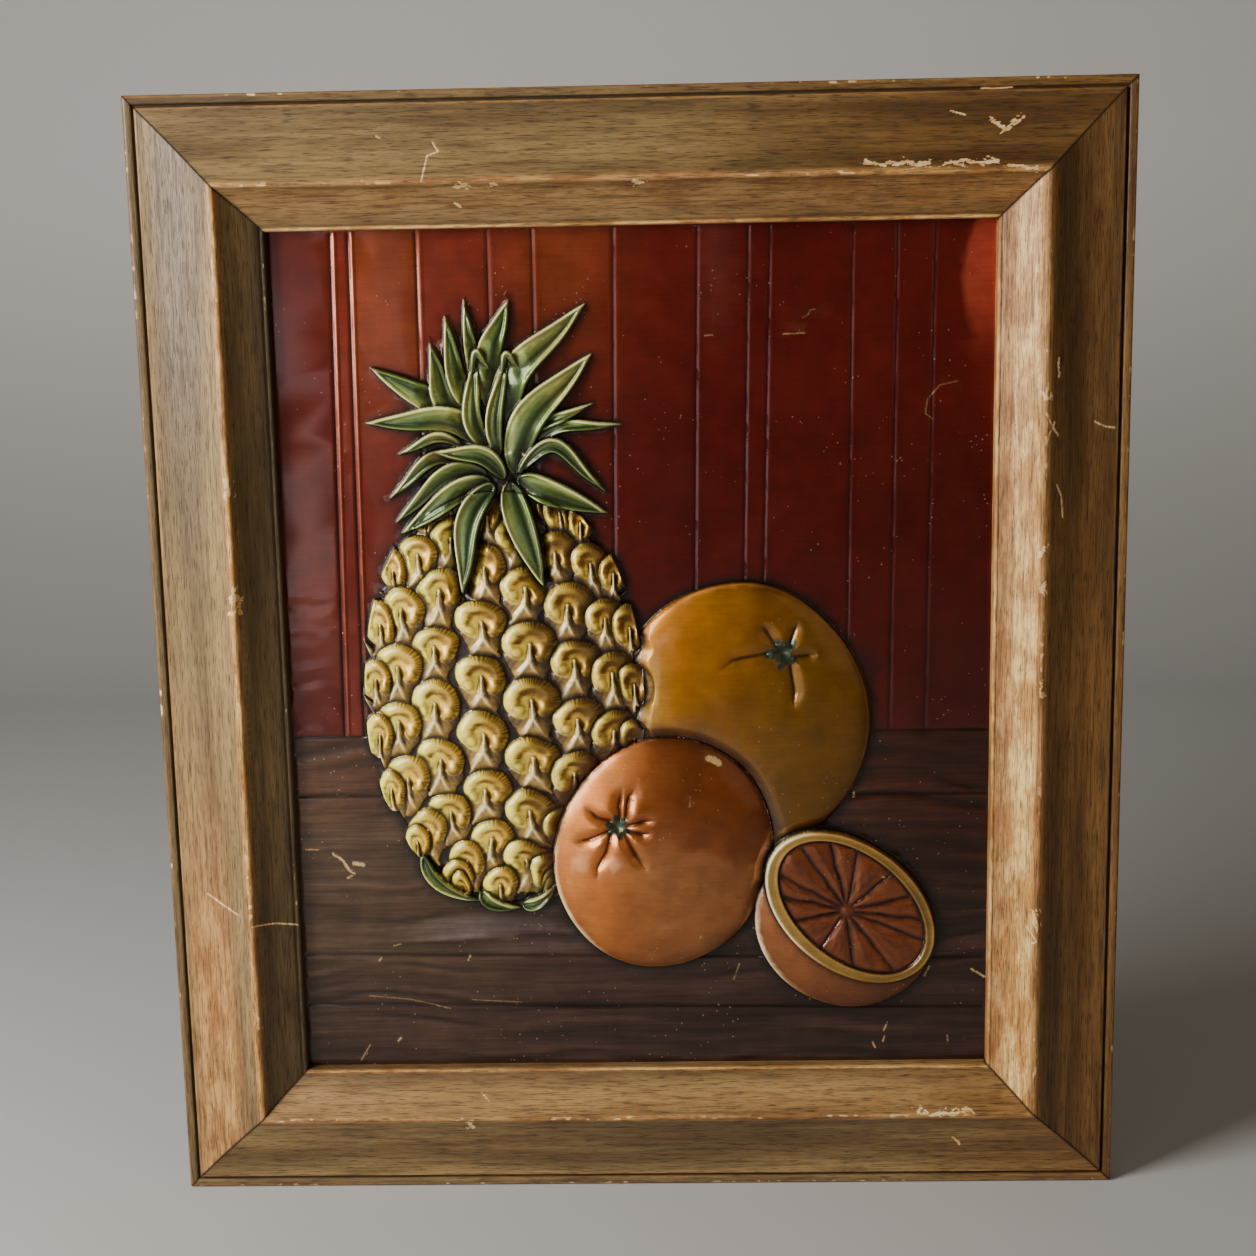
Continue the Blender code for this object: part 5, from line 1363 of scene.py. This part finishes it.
def rail_rubbed_and_sheen(along, inward, name, seed):
    """How far the stain is rubbed thin, with painted highlights and sheen, and over 1 where it is bright:
    ridge, lip's edges, slope, bead and wide faces.
    """
    patches = 0.5 + 0.5 * line_noise(along, 0.045, seed + 5)
    # The lip's edges are rubbed pale; the ridge and the bead are rubbed pale and brighter where they face the
    # light, as painted highlight; the slope carries painted sheen, strongest on the right rail, and the wide
    # faces painted light
    ridge = PALE_RIDGE[name] * bump(RIDGE_INWARD, 0.0024, inward) * (0.6 + 0.4 * patches)
    lip = 0.6 * np.maximum(bump(0.0008, 0.0009, inward), bump(0.0074, 0.0008, inward))
    slope = PALE_SLOPE[name] * ease(0.0500, 0.0535, inward) * (1 - 0.45 * ease(0.060, 0.071, inward))
    bead = PALE_BEAD[name] * bump(0.0742, 0.0011, inward)
    wide = np.zeros(inward.shape)
    if name == "left":
        wide = 0.75 * ease(0.02, -0.20, along) * ease(0.006, 0.012, inward) * ease(0.045, 0.030, inward)
    elif name == "right":
        wide = 0.30 * bump(0.021, 0.008, inward) * ease(-0.25, 0.05, along)
    elif name == "bottom":
        wide = 0.12 * ease(0.014, 0.026, inward) * ease(0.047, 0.043, inward)
    return np.maximum.reduce([ridge, lip, slope, bead, wide])


def rail_painted_warm_light(along, name):
    """How much redder the stain is painted, from 0 to 1, as painted warm light: most on the right rail and
    the ends beside it.
    """
    if name == "right":
        return np.ones(along.shape)
    if name == "left":
        return np.zeros(along.shape)
    return ease(-0.02, 0.20, along) if name == "top" else 0.7 * ease(0.12, 0.25, along)


def rail_dark_and_shade(along, inward, forward, name):
    """How much darker each place is: in the quirk beside the lip and on the outer lip, and painted shade
    along the sight edge, on the inner slopes and on the wide faces of each rail.
    """
    quirk = bump(0.0059, 0.0011, inward) * (forward > 0.013)
    # Painted shade along the sight edge and on the inner slope, heaviest on the left rail
    sight = DARK_SIGHT_EDGE[name] * bump(RAIL_WIDTH - 0.0032, 0.0012, inward)
    slope = DARK_SLOPE[name] * ease(0.0515, 0.0545, inward) * (0.6 + 0.6 * ease(0.060, 0.075, inward))
    lip = DARK_LIP[name] * ease(0.0050, 0.0040, inward)
    scoop = ease(0.0480, 0.0440, inward) * ease(0.0060, 0.0075, inward)
    # Painted shade on the wide face of the right rail and towards the right end of the top rail
    wide = np.zeros(inward.shape)
    if name == "right":
        wide = scoop * (0.06 + 0.44 * ease(0.026, 0.038, inward) + 0.36 * ease(0.015, 0.008, inward))
    elif name == "top":
        wide = scoop * (0.14 + 0.34 * ease(0.05, 0.22, along))
    return np.maximum.reduce([quirk, sight, slope, lip, wide])


class Nodes:
    """A short way to build one material's nodes."""

    def __init__(self, name):
        self.material = bpy.data.materials.new(name)
        self.material.use_nodes = True
        self.tree = self.material.node_tree
        self.shader = self.tree.nodes["Principled BSDF"]

    def add(self, kind, settings=None, **inputs):
        """A node with settings and with inputs that are values or other nodes' outputs."""
        node = self.tree.nodes.new(kind)
        for key, value in (settings or {}).items():
            setattr(node, key, value)
        for key, value in inputs.items():
            self.feed(node, key.replace("_", " "), value)
        return node

    def feed(self, node, socket, value):
        """Gives an input, named or as i and its number, a value or another node's output."""
        numbered = socket[0] == "i" and socket[1:].isdigit()
        entry = node.inputs[int(socket[1:]) if numbered else socket]
        if isinstance(value, bpy.types.NodeSocket):
            self.tree.links.new(value, entry)
        else:
            entry.default_value = value

    def attribute(self, name):
        return self.add("ShaderNodeAttribute", {"attribute_name": name})

    def noise(self, vector, scale, detail, roughness):
        """Cloudy values from 0 to 1, stretched where the scale is three numbers."""
        if isinstance(scale, tuple):
            vector = self.add("ShaderNodeMapping", Vector=vector, Scale=scale).outputs[0]
            scale = 1.0
        node = self.add("ShaderNodeTexNoise", Vector=vector, Scale=scale, Detail=detail, Roughness=roughness)
        return node.outputs[0]

    def ramp(self, value, low, high, start=0.0, end=1.0):
        """A smooth step of value from low to high, giving start to end."""
        settings = {"interpolation_type": "SMOOTHSTEP"}
        node = self.add("ShaderNodeMapRange", settings, i0=value, i1=low, i2=high, i3=start, i4=end)
        return node.outputs[0]

    def math(self, operation, first, second):
        node = self.add("ShaderNodeMath", {"operation": operation}, i0=first, i1=second)
        return node.outputs[0]

    def blend(self, share, first, second, kind="MIX"):
        """A colour between two."""
        settings = {"data_type": "RGBA", "blend_type": kind}
        node = self.add("ShaderNodeMix", settings, i0=share, i6=first, i7=second)
        return node.outputs[2]

    def bump(self, height, distance, strength=1.0, after=None):
        node = self.add("ShaderNodeBump", Height=height, Distance=distance, Strength=strength)
        if after is not None:
            self.feed(node, "Normal", after)
        return node.outputs[0]

    def set(self, socket, value):
        self.feed(self.shader, socket, value)


def colour4(values):
    """Three linear values as a shader's four."""
    return (*[float(value) for value in values], 1.0)


def paint(red, green, blue):
    """A colour given as 0 to 255 screen values, as a shader's four."""
    return colour4(linear(red, green, blue))


def copper_material():
    """Copper sheet under glossy tinted lacquer, with dust and fine bumps."""
    nodes = Nodes("lacquered copper")
    place = nodes.add("ShaderNodeTexCoord").outputs["Object"]
    attribute = nodes.attribute("lacquer")
    lacquer, on_table = attribute.outputs["Color"], attribute.outputs["Alpha"]
    mottle = nodes.noise(place, 70, 4, 0.6)
    brush = nodes.noise(place, (45, 45, 1000), 2, 0.6)
    grain = nodes.noise(place, (17, 17, 520), 4, 0.7)
    strokes = nodes.ramp(brush, 0.3, 0.7, 0.93, 1.07)
    tone = nodes.math("MULTIPLY", nodes.ramp(mottle, 0.3, 0.7, 0.86, 1.12), strokes)
    ring = nodes.math("MULTIPLY", nodes.ramp(grain, 0.42, 0.64, -0.10, 0.22), on_table)
    tone = nodes.math("MULTIPLY", tone, nodes.math("SUBTRACT", 1.0, ring))
    tones = nodes.add("ShaderNodeCombineColor", i0=tone, i1=tone, i2=tone).outputs[0]
    tinted = nodes.blend(1.0, lacquer, tones, "MULTIPLY")
    specks = nodes.add("ShaderNodeTexVoronoi", Vector=place, Scale=260.0)
    size = nodes.ramp(nodes.noise(place, 41, 2, 0.5), 0.43, 0.66, 0.0, 0.13)
    dust = nodes.math("LESS_THAN", specks.outputs["Distance"], size)
    dusty = nodes.blend(nodes.math("MULTIPLY", dust, 0.5), tinted, paint(190, 160, 136))
    nodes.set("Base Color", dusty)
    paleness = nodes.add("ShaderNodeSeparateColor", i0=lacquer).outputs[1]
    nodes.set("Metallic", nodes.ramp(paleness, 0.15, 0.55, 0.72, 0.05))
    nodes.set("Roughness", nodes.ramp(nodes.noise(place, 25, 3, 0.6), 0.3, 0.75, 0.36, 0.46))
    nodes.set("Coat Weight", 0.55)
    nodes.set("Coat Roughness", 0.16)
    nodes.set("Coat IOR", 1.5)
    fine = nodes.noise(place, 520, 2, 0.5)
    soft = nodes.bump(nodes.noise(place, 55, 2, 0.5), 0.0006, 0.35)
    grained = nodes.bump(nodes.math("MULTIPLY", grain, on_table), 0.0005, 0.5, soft)
    nodes.set("Normal", nodes.bump(fine, 0.0001, 0.35, nodes.bump(brush, 0.00014, 0.3, grained)))
    return nodes.material


def wood_material():
    """Stained wood with grain along the rail, darker in its corners and with painted shade on its shaded
    faces, pale where it is worn and where highlights and sheen are painted, and redder where warm light is
    painted.
    """
    nodes = Nodes("worn stained wood")
    grain = nodes.attribute("grain").outputs["Vector"]
    wear_and_painted_light = nodes.attribute("wear_and_painted_light")
    masks = nodes.add("ShaderNodeSeparateColor", i0=wear_and_painted_light.outputs["Color"])
    worn, dark_and_shade, pale = masks.outputs[0], masks.outputs[1], masks.outputs[2]
    broad = nodes.noise(grain, (3, 34, 1), 4, 0.6)
    streaks = nodes.noise(grain, (24, 440, 1), 4, 0.75)
    pores = nodes.noise(grain, (90, 1500, 1), 2, 0.5)
    blotches = nodes.noise(grain, (26, 60, 1), 5, 0.7)
    stain = nodes.blend(nodes.ramp(broad, 0.36, 0.64), paint(99, 77, 48), paint(154, 127, 82))
    stain = nodes.blend(nodes.ramp(blotches, 0.46, 0.68, 0.0, 0.55), stain, paint(106, 92, 58))
    # Painted warm light: a redder stain on the right rail and the ends beside it
    stain = nodes.blend(wear_and_painted_light.outputs["Alpha"], stain, (1.0, 0.77, 0.54, 1.0), "MULTIPLY")
    # Pale: rubbed thin, and painted highlights and sheen, brightest where the mask is over 1
    rubbed = nodes.blend(nodes.ramp(blotches, 0.40, 0.62), paint(160, 108, 58), paint(206, 156, 96))
    bright = nodes.blend(nodes.ramp(blotches, 0.42, 0.62), paint(196, 142, 76), paint(255, 214, 136))
    rubbed = nodes.blend(nodes.ramp(pale, 0.8, 1.6), rubbed, bright)
    stain = nodes.blend(nodes.ramp(pale, 0.0, 1.0), stain, rubbed)
    stain = nodes.blend(nodes.ramp(streaks, 0.44, 0.66, 0.0, 0.62), stain, paint(62, 42, 20))
    pore = nodes.ramp(pores, 0.56, 0.66, 0.0, 0.65)
    stain = nodes.blend(pore, stain, paint(42, 27, 13))
    # Darker: mitre joints, the quirk, the outer lip and painted shade
    stain = nodes.blend(nodes.math("MULTIPLY", dark_and_shade, 0.88), stain, paint(24, 16, 10))
    bare = nodes.blend(nodes.ramp(streaks, 0.4, 0.6), paint(240, 212, 160), paint(196, 150, 92))
    nodes.set("Base Color", nodes.blend(nodes.ramp(worn, 0.15, 0.7), stain, bare))
    polished = nodes.ramp(streaks, 0.4, 0.66, 0.34, 0.52)
    dull_where_dark = nodes.ramp(dark_and_shade, 0.4, 0.9, 0.0, 0.8)
    dull = nodes.math("MAXIMUM", nodes.ramp(worn, 0.1, 0.6, 0.0, 0.75), dull_where_dark)
    nodes.set("Roughness", nodes.math("MAXIMUM", polished, dull))
    nodes.set("Specular IOR Level", 0.34)
    nodes.set("Coat Weight", 0.05)
    nodes.set("Coat Roughness", 0.20)
    relief = nodes.math("SUBTRACT", nodes.math("MULTIPLY", pore, -1.0), streaks)
    nodes.set("Normal", nodes.bump(relief, 0.00030, 0.55))
    return nodes.material


def board_material():
    """Matt brown hardboard with fine fibres."""
    nodes = Nodes("brown hardboard")
    place = nodes.add("ShaderNodeTexCoord").outputs["Object"]
    fibres = nodes.noise(place, (500, 500, 320), 4, 0.65)
    stains = nodes.noise(place, 9, 4, 0.6)
    base = nodes.blend(nodes.ramp(fibres, 0.3, 0.7), paint(92, 62, 40), paint(146, 108, 74))
    nodes.set("Base Color", nodes.blend(nodes.ramp(stains, 0.4, 0.75, 0.0, 0.5), base, paint(74, 50, 34)))
    nodes.set("Roughness", 0.85)
    nodes.set("Normal", nodes.bump(fibres, 0.0002, 0.5))
    return nodes.material


def steel_material():
    """Dull zinc plate with a few brown spots."""
    nodes = Nodes("zinc plated steel")
    place = nodes.add("ShaderNodeTexCoord").outputs["Object"]
    cloudy = nodes.noise(place, 320, 4, 0.6)
    spots = nodes.noise(place, 900, 3, 0.5)
    base = nodes.blend(nodes.ramp(cloudy, 0.3, 0.7), paint(150, 152, 156), paint(198, 200, 204))
    nodes.set("Base Color", nodes.blend(nodes.ramp(spots, 0.62, 0.7, 0.0, 0.7), base, paint(110, 72, 44)))
    nodes.set("Metallic", 0.9)
    nodes.set("Roughness", nodes.ramp(cloudy, 0.3, 0.7, 0.32, 0.5))
    return nodes.material


def stage_material(name, colour, roughness, floor_z):
    """Plain paper that gets lighter above the floor, painted light where less light reaches it."""
    nodes = Nodes(name)
    place = nodes.add("ShaderNodeTexCoord").outputs["Object"]
    height = nodes.add("ShaderNodeSeparateXYZ", Vector=place).outputs["Z"]
    shade = nodes.ramp(height, floor_z, floor_z + 0.7, 0.0, 0.9)
    nodes.set("Base Color", nodes.blend(shade, colour4(colour), colour4(colour * 1.75)))
    nodes.set("Roughness", roughness)
    return nodes.material


def make_stage():
    """A pale floor that sweeps up into a plain backdrop, far enough behind to leave room for a back view."""
    floor_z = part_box("frame_bottom_rail")[0].z - 0.0005
    depth = 2.0
    radius = 0.7
    profile = [(-3.5, floor_z), (depth - radius, floor_z)]
    for step in range(1, 25):
        angle = math.pi / 2 * step / 24
        profile.append((depth - radius + radius * math.sin(angle), floor_z + radius * (1 - math.cos(angle))))
    profile.append((depth, floor_z + 3.6))
    vertices = [(side * 4.0, y, z) for side in (-1, 1) for y, z in profile]
    count = len(profile)
    faces = [(i, i + 1, count + i + 1, count + i) for i in range(count - 1)]
    mesh = bpy.data.meshes.new("backdrop")
    mesh.from_pydata(vertices, [], faces)
    mesh.shade_smooth()
    mesh.materials.append(stage_material("pale paper", linear(182, 182, 182), 0.9, floor_z))
    item = bpy.data.objects.new("backdrop", mesh)
    bpy.context.scene.collection.objects.link(item)


def make_camera():
    """The photograph's viewpoint: a little right of the middle, and looking slightly down."""
    right = Vector((0.99952781, 0.02379256, -0.01944388))
    up = Vector((0.01449141, 0.1929893, 0.98109384))
    forward = Vector((-0.0270952, 0.98091235, -0.19255339))
    camera = bpy.data.cameras.new("camera")
    camera.lens = 59.67
    camera.sensor_width = 36
    camera.clip_start = 0.05
    item = bpy.data.objects.new("camera", camera)
    turn = Matrix((right, up, -forward)).transposed()
    item.matrix_world = Matrix.Translation((0.0271628, -1.1926108, -0.0373887)) @ turn.to_4x4()
    bpy.context.scene.collection.objects.link(item)
    bpy.context.scene.camera = item


def add_light(name, place, target, size, power, colour):
    light = bpy.data.lights.new(name, "AREA")
    light.shape = "RECTANGLE"
    light.size, light.size_y = size
    light.energy = power
    light.color = colour
    item = bpy.data.objects.new(name, light)
    item.location = place
    item.rotation_euler = (Vector(target) - Vector(place)).to_track_quat("-Z", "Y").to_euler()
    bpy.context.scene.collection.objects.link(item)


def make_light():
    """A large soft window of light from the left, a pale card before the picture, and a dim warm room."""
    middle = (0, 0, PICTURE_Z)
    add_light("window", (-1.30, -0.86, 0.27), middle, (0.8, 1.1), 49, (1.0, 0.96, 0.90))
    add_light("card", (-0.70, -1.75, -0.35), (-0.15, 0, PICTURE_Z - 0.2), (0.5, 0.5), 2.0, (0.92, 0.94, 1.0))
    add_light("room", (1.5, -1.7, 0.4), middle, (1.6, 1.6), 5.5, (1.0, 0.68, 0.38))
    world = bpy.data.worlds.new("room")
    world.use_nodes = True
    background = world.node_tree.nodes["Background"]
    background.inputs[0].default_value = (0.95, 0.84, 0.70, 1)
    background.inputs[1].default_value = 0.09
    bpy.context.scene.world = world


make_camera()
make_light()
make_stage()

wood = wood_material()
half_width = FRAME_WIDTH / 2
half_height = FRAME_HEIGHT / 2
make_rail("top", half_width, half_height, lambda along, out: (along, out), wood, 1)
make_rail("bottom", half_width, half_height, lambda along, out: (along, -out), wood, 12)
make_rail("left", half_height, half_width, lambda along, out: (-out, along), wood, 23)
make_rail("right", half_height, half_width, lambda along, out: (out, along), wood, 34)

sheet = make_sheet(make_picture(), copper_material())
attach(sheet, "root")
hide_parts("copper_relief")

for node, material in (
    ("backing_board", board_material()),
    ("hanger_plate", steel_material()),
    ("hanger_nail_left", steel_material()),
    ("hanger_nail_right", steel_material()),
):
    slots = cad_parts[node].data.materials
    slots.clear()
    slots.append(material)
